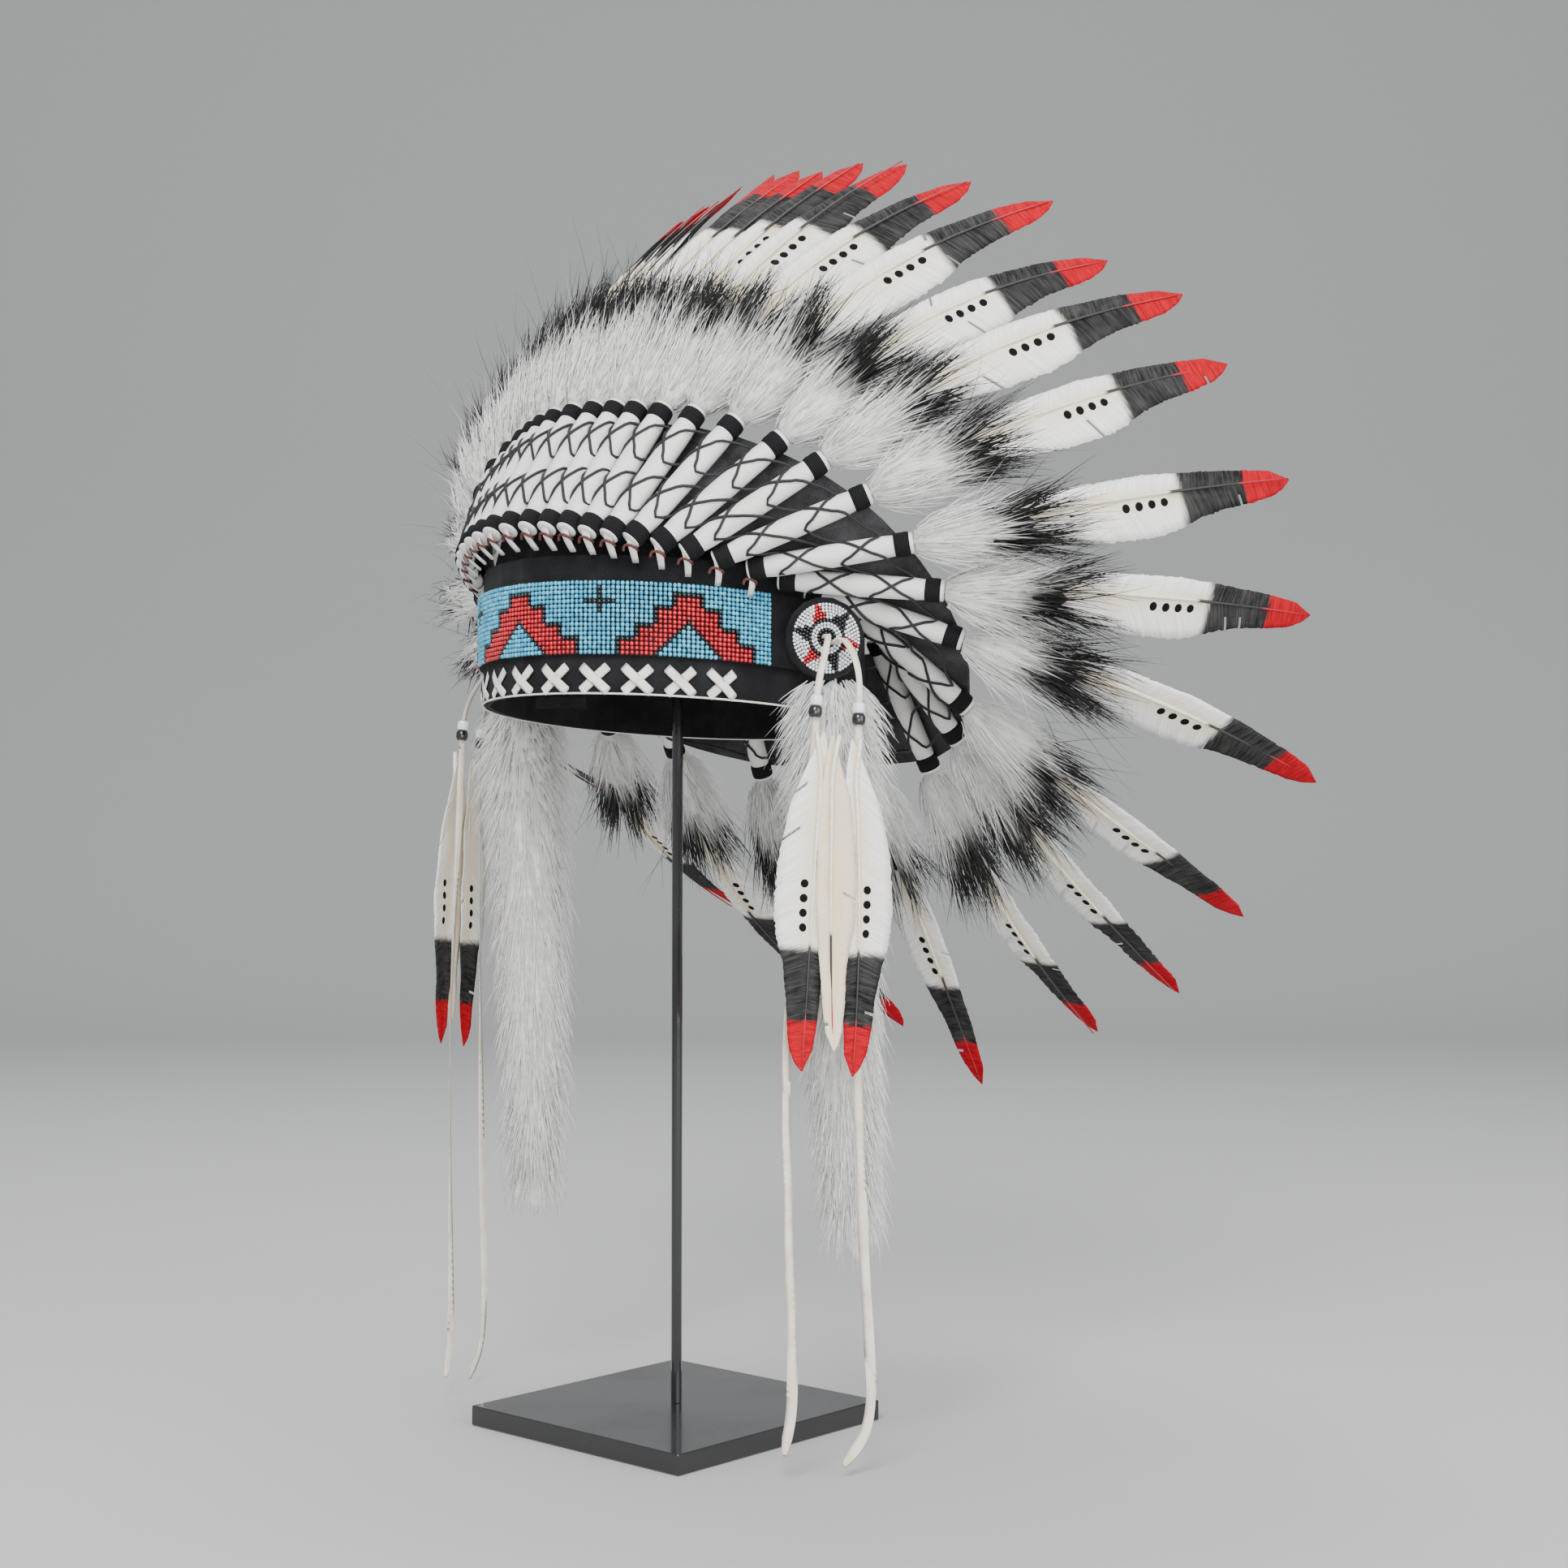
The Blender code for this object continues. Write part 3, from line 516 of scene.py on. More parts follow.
def merge(parts):
    """Joins finished bmeshes into one mesh."""
    whole = bmesh.new()
    for part in parts:
        scratch = mesh_from(part)
        whole.from_mesh(scratch)
        bpy.data.meshes.remove(scratch)
    return mesh_from(whole)


def frame_at(origin, along, towards):
    """A placing matrix with its z axis along and its x axis as near towards as it can be."""
    z = along.normalized()
    x = (towards - z * towards.dot(z)).normalized()
    return Matrix.Translation(origin) @ Matrix((x, z.cross(x), z)).transposed().to_4x4()


def spun(profile, sides, counted=1.0):
    """Turns a profile of (radius, height) about z, with a map of the way round and up."""
    bm = bmesh.new()
    row = [bm.verts.new((radius, 0, height)) for radius, height in profile]
    edges = [bm.edges.new(pair) for pair in zip(row, row[1:])]
    bmesh.ops.spin(
        bm, geom=row + edges, cent=(0, 0, 0), axis=(0, 0, 1), angle=math.tau, steps=sides, use_merge=True
    )
    bmesh.ops.remove_doubles(bm, verts=bm.verts, dist=1e-6)
    bmesh.ops.recalc_face_normals(bm, faces=bm.faces)
    layer = bm.loops.layers.uv.new("UVMap")
    low, high = profile[0][1], profile[-1][1]
    for f in bm.faces:
        middle = f.calc_center_median()
        centre = math.atan2(middle.y, middle.x)
        for loop in f.loops:
            turn = math.atan2(loop.vert.co.y, loop.vert.co.x) if loop.vert.co.xy.length > 1e-6 else centre
            turn = centre + (turn - centre + math.pi) % math.tau - math.pi
            loop[layer].uv = (turn / math.tau, counted * (loop.vert.co.z - low) / max(high - low, 1e-9))
    return bm


def cords(routes, radius, taper=None, sides=6, closed=False):
    """Round cords along smooth routes, as one mesh, with "along" from 0 to 1 on each."""
    ring = [(math.cos(a), math.sin(a)) for a in np.linspace(0, math.tau, sides, endpoint=False)]
    bm = bmesh.new()
    held = bm.verts.layers.float.new("along")
    for route in routes:
        points = [Vector(p) for p in route]
        count = len(points)
        side = None
        rows = []
        for i, point in enumerate(points):
            before = points[i - 1] if i or closed else points[0]
            after = points[(i + 1) % count] if i < count - 1 or closed else points[-1]
            ahead = (after - before).normalized()
            side = ahead.orthogonal() if side is None else side
            side = (side - ahead * side.dot(ahead)).normalized()
            over = ahead.cross(side)
            share = i / (count - 1)
            size = radius * (taper(share) if taper else 1.0)
            row = [bm.verts.new(point + size * (c * side + s * over)) for c, s in ring]
            for v in row:
                v[held] = share
            rows.append(row)
        for row, after in zip(rows, rows[1:] + rows[:1] if closed else rows[1:]):
            for j in range(sides):
                k = (j + 1) % sides
                bm.faces.new((row[j], row[k], after[k], after[j]))
        if not closed:
            bm.faces.new(rows[0][::-1])
            bm.faces.new(rows[-1])
    bmesh.ops.recalc_face_normals(bm, faces=bm.faces)
    return bm


def curved(before, here, there, beyond, steps):
    """Points from here towards there, on a smooth curve that minds the points before and beyond."""
    return [
        0.5 * (
            2 * here + t * (there - before) + t * t * (2 * before - 5 * here + 4 * there - beyond)
            + t ** 3 * (3 * here - before - 3 * there + beyond)
        )
        for t in (step / steps for step in range(steps))
    ]


def smooth_route(points, count):
    """Points at even steps along a smooth curve through the given ones."""
    points = [Vector(p) for p in points]
    padded = [2 * points[0] - points[1], *points, 2 * points[-1] - points[-2]]
    fine = [p for i in range(len(points) - 1) for p in curved(*padded[i:i + 4], 16)] + [points[-1]]
    lengths = np.concatenate([[0], np.cumsum([(b - a).length for a, b in zip(fine, fine[1:])])])
    steps = np.linspace(0, lengths[-1], count)
    fine = np.array(fine)
    return [Vector([np.interp(s, lengths, fine[:, axis]) for axis in range(3)]) for s in steps]


# %% [markdown]
# ## Where things are
# These are the model's own sizes and places, repeated so that each new piece lands on its solid.
# The crown is a ring of stations: the foot of each roll on the band, the way the roll leans, and
# the way its front faces. A temple carries the disc, its laces, its feathers and its fur tail.

# %% Sizes from the model
FRONT, LEFT, UP = Vector((0, -1, 0)), Vector((1, 0, 0)), Vector((0, 0, 1))
HEAD_LENGTH, HEAD_WIDTH, BAND_BOTTOM, BAND_RISE = 0.200, 0.168, 0.338, 0.05
STRIP_HEIGHT, STRIP_ABOVE_EDGE, STRIP_THICK = 0.0330, 0.0172, 0.0018
SEAT_HEIGHT, SEAT_RISE, SEAT_DISH = 0.390, 0.022, 0.008
ROLL_START, ROLL_LENGTH, ROLL_RADIUS = -0.0045, 0.0755, 0.0050
WRAP_RADIUS, WRAP_LENGTH, BORE_DEPTH, GAP = 0.0056, 0.009, 0.014, 0.0003
ROLL_END = ROLL_START + ROLL_LENGTH
FEATHER_LENGTH, STRAIGHT_QUILL, BEND_SHARE, QUILL_RADIUS = 0.213, 0.038, 0.36, 0.0015
VANE_TURN, MIDDLE_DROP = math.radians(23), 0.005
FEATHER_ROWS = (
    # seat, fan, rise, vane_rise, vane_fan, longer
    (0.0, 0, 56, 45, 0, 0),
    (7.5, 1, 56, 44, 3, -3),
    (14.0, 2, 56, 44, 5, -6),
    (20.0, 3, 56, 44, 9, 2),
    (26.0, 6, 56, 44, 14, 4),
    (32.0, 13, 56, 41, 22, 3),
    (38.0, 24, 56, 39.5, 31, 8),
    (45.0, 37, 56, 35, 37, -3),
    (52.0, 48, 56, 34.5, 43, 6),
    (60.0, 62, 56, 32, 48, -3),
    (69.0, 80, 56, 27.5, 63, 1),
    (78.0, 96, 56, 22, 90, -2),
    (87.0, 113, 56, 29, 129, 0),
    (104.0, 145, 50, 32, 153, -2),
    (120.0, 164, 52, 39, 167, 2),
    (148.0, 173, 62, 43, 177, -2),
    (180.0, 180, 62, 58, 180, 0),
)


# %% Places on the band and round the crown
def band_point(seat, out, height):
    forward = (HEAD_LENGTH / 2 + out) * math.cos(seat)
    side = (HEAD_WIDTH / 2 + out) * math.sin(seat)
    return forward * FRONT + side * LEFT + (height + BAND_RISE * forward) * UP


def band_normal(seat):
    return (HEAD_WIDTH * math.cos(seat) * FRONT + HEAD_LENGTH * math.sin(seat) * LEFT).normalized()


def lean(rise, fan):
    return -math.cos(rise) * FRONT + math.sin(rise) * (math.sin(fan) * LEFT + math.cos(fan) * UP)


def face(rise, fan):
    return math.sin(rise) * FRONT + math.cos(rise) * (math.sin(fan) * LEFT + math.cos(fan) * UP)


class Station:
    """One place round the crown: the foot of a roll, its direction and its front."""

    def __init__(self, seat, fan, rise):
        self.seat, self.direction, self.front = seat, lean(rise, fan), face(rise, fan)
        normal = band_normal(seat)
        tilt = self.direction.dot(normal)
        reach = WRAP_RADIUS * math.sqrt(1 - tilt * tilt) + max(tilt, 0) * WRAP_LENGTH / 2
        forward = math.cos(seat)
        height = SEAT_HEIGHT + SEAT_RISE * forward + SEAT_DISH * forward * forward
        on_band = band_point(seat, 0, 0)
        self.foot = Vector((on_band.x, on_band.y, height)) + (STRIP_THICK + 2 * GAP + reach) * normal

    def at(self, along, out=0.0, across=0.0):
        aside = self.direction.cross(self.front)
        return self.foot + along * self.direction + out * self.front + across * aside


def mirrored(seat, fan, rise, vane_rise, vane_fan, longer):
    return math.tau - seat, math.tau - fan, rise, vane_rise, math.tau - vane_fan, longer


half = [(*(math.radians(value) for value in row[:5]), row[5] * MM) for row in FEATHER_ROWS]
ROWS = half + [mirrored(*row) for row in half[-2:0:-1]]
STATIONS = [Station(*row[:3]) for row in ROWS]
print("stations:", len(STATIONS))


# %% Places at the temples
DISC_HEIGHT = 0.3685


class Temple:
    """The disc at one temple, and places along it (to the back), out from it and below it."""

    def __init__(self, name, side, turn, forward, out):
        self.name, self.side = name, side
        self.out = math.sin(turn) * FRONT + side * math.cos(turn) * LEFT
        self.back = -math.cos(turn) * FRONT + side * math.sin(turn) * LEFT
        self.centre = forward * FRONT + side * (HEAD_WIDTH / 2 + out) * LEFT + DISC_HEIGHT * UP

    def at(self, along, out, drop):
        return self.centre + along * self.back + out * self.out - drop * UP


TEMPLES = [
    Temple("left", 1, math.radians(30), 0.0105, 0.0194),
    Temple("right", -1, math.radians(22), 0.0105, 0.0226),
]
LACES = {
    "front": (
        # along, out, drop
        (-0.0012, 0.0027, -0.0007),
        (-0.0024, 0.0110, -0.0005),
        (-0.0060, 0.0175, 0.0075),
        (-0.0100, 0.0218, 0.0185),
        (-0.0125, 0.0235, 0.0315),
        (-0.0135, 0.0238, 0.0485),
        (-0.0165, 0.0232, 0.0785),
        (-0.0225, 0.0228, 0.1385),
        (-0.0258, 0.0225, 0.1885),
        (-0.0247, 0.0225, 0.2576),
        (-0.0232, 0.0225, 0.3291),
        (-0.0270, 0.0230, 0.3560),
    ),
    "back": (
        # along, out, drop
        (0.0024, 0.0026, 0.0020),
        (0.0045, 0.0110, 0.0005),
        (0.0075, 0.0175, 0.0085),
        (0.0085, 0.0218, 0.0205),
        (0.0075, 0.0235, 0.0345),
        (0.0070, 0.0238, 0.0515),
        (0.0068, 0.0232, 0.0785),
        (0.0066, 0.0228, 0.1385),
        (0.0072, 0.0225, 0.1885),
        (0.0093, 0.0225, 0.2576),
        (0.0123, 0.0225, 0.3112),
        (0.0131, 0.0228, 0.3326),
        (0.0100, 0.0232, 0.3495),
        (0.0000, 0.0240, 0.3625),
    ),
}
BEAD_DROPS = {"front": 0.0325, "back": 0.0355}
TAIL_ROUTE = (
    # along, out, drop
    (0.004, -0.002, 0.0189),
    (0.009, -0.006, 0.1485),
    (0.0165, -0.005, 0.2855),
)
PENDANTS = (
    # name, along at the top, middle and bottom, out, drop, shares of the length and width
    ("front", -0.0135, -0.0198, -0.0215, 0.0269, 0.0435, 1.00, 1.00),
    ("middle", -0.0035, -0.0060, -0.0075, 0.0284, 0.0455, 0.93, 0.52),
    ("back", 0.0070, 0.0085, 0.0020, 0.0269, 0.0465, 1.00, 0.98),
)
PENDANT_LENGTH, PENDANT_WIDTH, PENDANT_BOW = 0.148, 0.0235, 0.003

# %% [markdown]
# ## Suede laces and their beads
# A pair of flat suede laces comes out of each disc, carries a white tube bead on a black pony bead,
# and hangs to just above the plate. A curve with a round bevel would make a string, so each lace
# is a flat sheet bent along its route, thickened, and turned a little on its way down.

# %% Laces
LACE_WIDTH, LACE_THICK, LACE_STEPS = 4.7 * MM, 1.1 * MM, 110
LACE_TWIST, LACE_SWAYS, LACE_RIPPLES, PHASES = 0.35, 7.0, 23, {"front": 0.7, "back": 2.4}
LACE_TOP, LACE_TIP = 0.62, 0.985
BEAD_SIDES = 20
TUBE_PROFILE = ((1.9, 0), (2.55, 0.15), (2.9, 0.7), (2.9, 4.1), (2.55, 4.65), (1.9, 4.8), (1.9, 0))
PONY_PROFILE = (
    (1.9, 0), (2.4, -0.1), (2.95, -1.2), (3.1, -2.6), (2.95, -4.0), (2.4, -5.1), (1.9, -5.2), (1.9, 0),
)


def turned(profile, sides):
    """A template turned from a profile in millimetres."""
    return template(spun([(radius * MM, height * MM) for radius, height in profile], sides))


TUBE_BEAD, PONY_BEAD = turned(TUBE_PROFILE, BEAD_SIDES), turned(PONY_PROFILE, BEAD_SIDES)


def hang_lace(temple, name):
    route = smooth_route([temple.at(*row) for row in LACES[name]], LACE_STEPS)
    length = sum((b - a).length for a, b in zip(route, route[1:]))

    def bend(u, v):
        i = min(int(u * (LACE_STEPS - 1)), LACE_STEPS - 2)
        share = u * (LACE_STEPS - 1) - i
        point = route[i].lerp(route[i + 1], share)
        ahead = (route[i + 1] - route[i]).normalized()
        turn = LACE_TWIST * math.sin(LACE_SWAYS * u + PHASES[name]) * min(1.0, 6 * u)
        flat = Matrix.Rotation(turn, 3, ahead) @ temple.back
        flat = (flat - ahead * flat.dot(ahead)).normalized()
        width = LACE_WIDTH * (1 - 0.10 * math.sin(LACE_RIPPLES * u + PHASES[name]) ** 2)
        width *= LACE_TOP + (1 - LACE_TOP) * min(1.0, max(0.0, (u - 0.10) / 0.10))
        if u > LACE_TIP:
            width *= 1 - 0.55 * (u - LACE_TIP) / (1 - LACE_TIP)
        return point + (v - 0.5) * width * flat

    which = "_%s_%s" % (name, temple.name)
    shape = thickened(sheet(LACE_STEPS, 2, bend), LACE_THICK)
    lace = piece("suede_lace" + which, shape, CREAM_SUEDE, ["lace" + which])
    height = DISC_HEIGHT - BEAD_DROPS[name]
    at = next(i for i in range(LACE_STEPS - 1) if route[i + 1].z < height)
    share = (route[at].z - height) / (route[at].z - route[at + 1].z)
    place = frame_at(route[at].lerp(route[at + 1], share), route[at] - route[at + 1], temple.out)
    tube, pony = many(TUBE_BEAD, [place], tones=[0.5]), many(PONY_BEAD, [place], tones=[0.5])
    beads = [
        piece("tube_bead" + which, tube, BEAD_GLASS["white"], ["beads" + which]),
        piece("pony_bead" + which, pony, BEAD_GLASS["black"]),
    ]
    print("  length %.3f m" % length)


for temple in TEMPLES:
    for name in LACES:
        hang_lace(temple, name)

# %% [markdown]
# ## The stand and the felts
# The plate, the rod, the band, the cap and the felt behind the rolls have the right shape already.
# They keep their solids and take a better finish: gloss black paint, and felt that is grey
# where it shows between the rolls.

# %% Finishes on the solids that stay
for node, finish in (
    ("stand_plate", BLACK_PAINT), ("stand_rod", BLACK_PAINT), ("headband", BLACK_FELT),
    ("cap_felt", BLACK_FELT), ("crown_felt", GREY_FELT), ("bead_strip", BLACK_FELT),
    ("rosette_left", BLACK_FELT), ("rosette_right", BLACK_FELT),
):
    held = frame["nodes"][node]
    held.data.materials.clear()
    held.data.materials.append(finish)

# %% [markdown]
# ## The beaded strip
# Seed beads are sewn in sixteen rows, holes upright, so each reads as a small block. The design is
# the traditional stepped hill with crosses between, and it is charted here by rule: a hill is four
# steps of beads, red with a black outline, with a blue triangle cut out of its foot.

# %% The chart
BEAD_PITCH, BEAD_ROWS, STRIP_ENDS = 2.1 * MM, 16, math.radians(76)
HILL_STEPS = ((3, 15), (6, 11), (10, 7), (13, 3))
HILL_SPACING, HILL_CUT, CROSS_AT = 39, 7, 20
CROSS_ROWS, CROSS_ARM_ROW, CROSS_ARM = range(9, 15), 11, 3


def hill_half(row):
    """How many beads the hill reaches each side of its middle in this row."""
    return next((half_width for top, half_width in HILL_STEPS if row <= top), -1)


def hill_bead(column, row):
    """The glass of this bead of the hill, or None off it."""
    off = abs(column)
    if off > hill_half(row):
        return None
    if off + row < HILL_CUT:
        return "blue"
    inside = off + 1 <= hill_half(row) and off <= hill_half(row + 1)
    return "red" if inside and off + row > HILL_CUT else "black"


def cross_bead(column, row):
    upright = column == 0 and row in CROSS_ROWS
    arm = row == CROSS_ARM_ROW and abs(column) <= CROSS_ARM
    return "black" if upright or arm else None


def strip_bead(column, row):
    off = (column + HILL_SPACING / 2) % HILL_SPACING - HILL_SPACING / 2
    return hill_bead(int(off), row) or cross_bead(abs(column) - CROSS_AT, row) or "blue"


# %% Sew the beads on
SEED_RADIUS, SEED_SIDES, SEED_SLIP, SEED_OUT = 1.04 * MM, 8, 0.06 * MM, 0.25 * MM
SEED_PROFILE = ((0.0, -0.82), (0.62, -0.74), (1.0, -0.32), (1.0, 0.32), (0.62, 0.74), (0.0, 0.82))
seed = spun(SEED_PROFILE, SEED_SIDES)
bmesh.ops.scale(seed, vec=Vector((1, 1, 1)) * SEED_RADIUS, verts=seed.verts)
SEED = template(seed)
COLOURS, GLASSES = list(BEAD_GLASS), list(BEAD_GLASS.values())


def arc_seats(spacing, last):
    """Places round the band at even steps of length, from the middle of the front to one side."""
    turns = np.linspace(0, last, 2000)
    points = np.array([band_point(t, STRIP_THICK, 0.37) for t in turns])
    lengths = np.concatenate([[0], np.cumsum(np.linalg.norm(np.diff(points, axis=0), axis=1))])
    return list(np.interp(np.arange(0, lengths[-1], spacing), lengths, turns))


def sew_strip():
    seats = list(enumerate(arc_seats(BEAD_PITCH, STRIP_ENDS)))
    places, kinds = [], []
    for column, seat in seats + [(-i, -seat) for i, seat in seats[1:]]:
        for row in range(BEAD_ROWS):
            slip = rng.normal(0, SEED_SLIP, 3)
            height = BAND_BOTTOM + STRIP_ABOVE_EDGE + (row + 0.5) * (STRIP_HEIGHT / BEAD_ROWS)
            point = band_point(seat, STRIP_THICK + SEED_OUT, height) + Vector(slip)
            across = UP.cross(band_normal(seat))
            lie = frame_at(point, across + Vector(rng.normal(0, 0.05, 3)), UP)
            places.append(lie @ Matrix.Diagonal((1.0, 1.0, 1.0 + rng.normal(0, 0.04), 1.0)))
            kinds.append(COLOURS.index(strip_bead(column, row)))
    mesh = many(SEED, places, kinds=kinds, tones=rng.random(len(places)))
    piece("strip_beads", mesh, GLASSES)


sew_strip()

# %% [markdown]
# ## The discs
# Each disc is beaded in rings from the middle out: a black eye, a white ring with a thin black one
# round it, and six points on a white field, red and black in turn. The rings lie on a slight dome.

# %% Bead the discs
DISC_RADIUS, DISC_THICK = 19 * MM, 3.2 * MM
RING_STEP, BEAD_STEP = 1.45 * MM, 1.62 * MM
DISC_RIM, DISC_DOME = 2.8 * MM, 0.6 * MM
DISC_RINGS = ((4.2 * MM, "black"), (7.4 * MM, "white"), (8.6 * MM, "black"))
POINTS, POINT_FIRST, POINT_FOOT = 6, math.radians(109), 8.2 * MM
POINT_LONG, POINT_HALF, POINT_TIP = 8.8 * MM, 3.7 * MM, 0.3 * MM
DISC_SEED = (0.72, 0.78, 0.80)


def disc_bead(radius, angle):
    """The glass of the bead here: that of the ring it is in, or of a point, or the white field."""
    for outer, glass in DISC_RINGS:
        if radius < outer:
            return glass
    turn = (angle - POINT_FIRST) / (math.tau / POINTS)
    off = abs(turn - round(turn)) * math.tau / POINTS * radius
    share = (radius - POINT_FOOT) / POINT_LONG
    if off < POINT_HALF * (1 - share) + POINT_TIP:
        return "red" if round(turn) % 2 == 0 else "black"
    return "white"


def bead_disc(temple):
    places, kinds = [], []
    rings = np.arange(0.6 * RING_STEP, DISC_RADIUS - DISC_RIM, RING_STEP)
    for ring, radius in enumerate(rings):
        count = max(4, round(math.tau * radius / BEAD_STEP))
        dome = DISC_THICK / 2 + 0.1 * MM + DISC_DOME * (1 - (radius / DISC_RADIUS) ** 2)
        for i in range(count):
            angle = math.tau * (i + 0.5 * (ring % 2)) / count
            outward = math.cos(angle) * UP.cross(temple.out) + math.sin(angle) * UP
            point = temple.centre + float(radius) * outward + float(dome) * temple.out
            lie = frame_at(point, temple.out.cross(outward), outward)
            wide, deep, long = DISC_SEED
            places.append(lie @ Matrix.Diagonal((wide, deep, long + float(rng.normal(0, 0.04)), 1.0)))
            kinds.append(COLOURS.index(disc_bead(radius, angle)))
    mesh = many(SEED, places, kinds=kinds, tones=rng.random(len(places)))
    piece("disc_beads_" + temple.name, mesh, GLASSES)


for temple in TEMPLES:
    bead_disc(temple)

# %% [markdown]
# ## Rolls, wraps and lacing
# Each quill sits in a roll of white leather, bound with black thread at its foot and its top. A
# roll is spun from a profile that swells a little between the wraps, and the wraps are spun on
# their own, so that the thread's turns can be counted up them. Black cord then laces roll to roll.

# %% Rolls
ROLL_SIDES, WRAP_TURNS, WRAP_INSIDE = 18, 9.0, 4.2 * MM
WRAP_BULGE = ((0.05, 0.80), (0.12, 0.96), (0.3, 1.0), (0.5, 0.985), (0.7, 1.0), (0.88, 0.96), (0.95, 0.80))


def roll_profile():
    start, end, waist = ROLL_START, ROLL_END, ROLL_START + ROLL_LENGTH / 2
    rows = [(0.0, start), (3.6 * MM, start), (4.6 * MM, start + 0.5 * MM), (4.7 * MM, start + WRAP_LENGTH)]
    rows += [(5.15 * MM, start + 13 * MM), (5.35 * MM, waist), (5.15 * MM, end - 14 * MM)]
    rows += [(4.7 * MM, end - WRAP_LENGTH), (4.9 * MM, end - 0.5 * MM), (4.3 * MM, end), (0.0, end)]
    return rows


def wrap_profile(low, high):
    bulge = [(WRAP_RADIUS * size, low + share * (high - low)) for share, size in WRAP_BULGE]
    return [(WRAP_INSIDE, low), *bulge, (WRAP_INSIDE, high)]


def wraps(name, low, high):
    shape = template(spun(wrap_profile(low, high), ROLL_SIDES, counted=WRAP_TURNS))
    piece(name, many(shape, places), BLACK_THREAD)


places = [
    frame_at(s.foot, s.direction, s.front) @ Matrix.Rotation(rng.random() * 6, 4, "Z") for s in STATIONS
]
rolls = many(template(spun(roll_profile(), ROLL_SIDES)), places)
piece("leather_rolls", rolls, WHITE_LEATHER, ["quill_rolls"])
wraps("foot_wraps", ROLL_START + 0.6 * MM, ROLL_START + WRAP_LENGTH)
wraps("top_wraps", ROLL_END - WRAP_LENGTH - 0.3 * MM, ROLL_END - 1.0 * MM)


# %% Lacing: two strands cross on the front of each roll and part in the gaps
LACING_RADIUS, LACING_SPREAD, LACING_CLEAR, WIDE_GAP = 0.70 * MM, 9.5 * MM, 0.75 * MM, 22 * MM
LACING_TURNS = [math.radians(a) for a in (-62, -31, 0, 31, 62)]
LACING_ROWS = (0.32, 0.69)


def lacing_route(middle, sign):
    """Over the face of each roll from one side to the other, and back across at the next."""
    route = []
    for i, (station, row) in enumerate(zip(STATIONS, ROWS)):
        after, next_row = STATIONS[(i + 1) % len(STATIONS)], ROWS[(i + 1) % len(ROWS)]
        aside = station.direction.cross(station.front)
        aside = aside if aside.dot(after.foot - station.foot) > 0 else -aside
        side = sign if i % 2 else -sign
        for turn in LACING_TURNS:
            along = middle + side * LACING_SPREAD * turn / LACING_TURNS[-1]
            out = math.cos(turn) * station.front + math.sin(turn) * aside
            route.append(station.at(along) + (ROLL_RADIUS + LACING_CLEAR) * out)
        wide = int((after.at(middle) - station.at(middle)).length / WIDE_GAP)
        ahead = middle + side * LACING_SPREAD
        for j in range(wide):
            seat, fan, rise = (a + (b - a) * (j + 1) / (wide + 1) for a, b in zip(row[:3], next_row[:3]))
            route.append(Station(seat, fan, rise).at(ahead))
    return route


def strand(share, sign):
    """The route as a closed smooth curve, with one point more between each two."""
    route = lacing_route(ROLL_START + share * ROLL_LENGTH, sign)
    ring = [route[-1], *route, route[0], route[1]]
    return [p for i in range(len(route)) for p in curved(*ring[i:i + 4], 2)]


strands = [strand(share, sign) for share in LACING_ROWS for sign in (1, -1)]
piece("roll_lacing", cords(strands, LACING_RADIUS, closed=True), BLACK_CORD)

# %% [markdown]
# ## Ties at the feet and thong on the band's edge
# Each roll's leather ends in a short white tab, turned down over the band, and a russet thong runs
# through the tabs. The band's lower edge is sewn with white thong in a row of crosses, with a thin
# line of it along the very edge.

# %% Tabs and their thong
TAB_WIDTH, TAB_THICK, TAB_LONG, TAB_CLEAR, TAB_BOW = 3.6 * MM, 0.9 * MM, 11.5 * MM, 1.2 * MM, 2.4 * MM
BROW_ENDS, STITCH_RADIUS = math.radians(75), 0.7 * MM
STITCH = (
    # aside, out and up from the middle of the tab, in millimetres
    (-2.2, -1.6, -1.2),
    (-1.4, 0.9, -0.4),
    (1.6, 0.9, 0.9),
    (3.6, -0.4, 0.6),
    (4.2, -1.2, -1.6),
)


def foot_drop(station, share):
    """A point on the way from the roll's foot down to just clear of the band."""
    top = station.at(ROLL_START + 2 * MM, ROLL_RADIUS * 0.6)
    seat = station.seat
    low_height = station.foot.z - TAB_LONG - BAND_RISE * (HEAD_LENGTH / 2) * math.cos(seat)
    low = band_point(seat, STRIP_THICK + TAB_CLEAR, low_height)
    bow = band_normal(seat) * TAB_BOW * math.sin(math.pi * share)
    return top.lerp(low, share) + bow


def tab(station):
    aside = band_normal(station.seat).cross(UP)
    return thickened(
        sheet(6, 2, lambda u, v: foot_drop(station, u) + (v - 0.5) * TAB_WIDTH * (1 - 0.25 * u) * aside),
        TAB_THICK,
    )


def stitch(station):
    normal = band_normal(station.seat)
    aside, middle = normal.cross(UP), foot_drop(station, 0.52)
    points = [middle + a * MM * aside + out * MM * normal + up * MM * UP for a, out, up in STITCH]
    return smooth_route(points, 12)


brow = [s for s in STATIONS if math.cos(s.seat) > math.cos(BROW_ENDS)]
piece("foot_tabs", merge([tab(s) for s in brow]), WHITE_THONG)
piece("foot_thong", cords([stitch(s) for s in brow], STITCH_RADIUS), RUSSET_THONG)

# %% Crosses of thong along the lower edge
CROSS_SPACING, CROSS_HALF, CROSS_TALL, CROSS_ENDS = 19.6 * MM, 6.0 * MM, 11.0 * MM, math.radians(68)
THONG_WIDTH, THONG_THICK, THONG_LIFT = 3.6 * MM, 1.0 * MM, 0.9 * MM


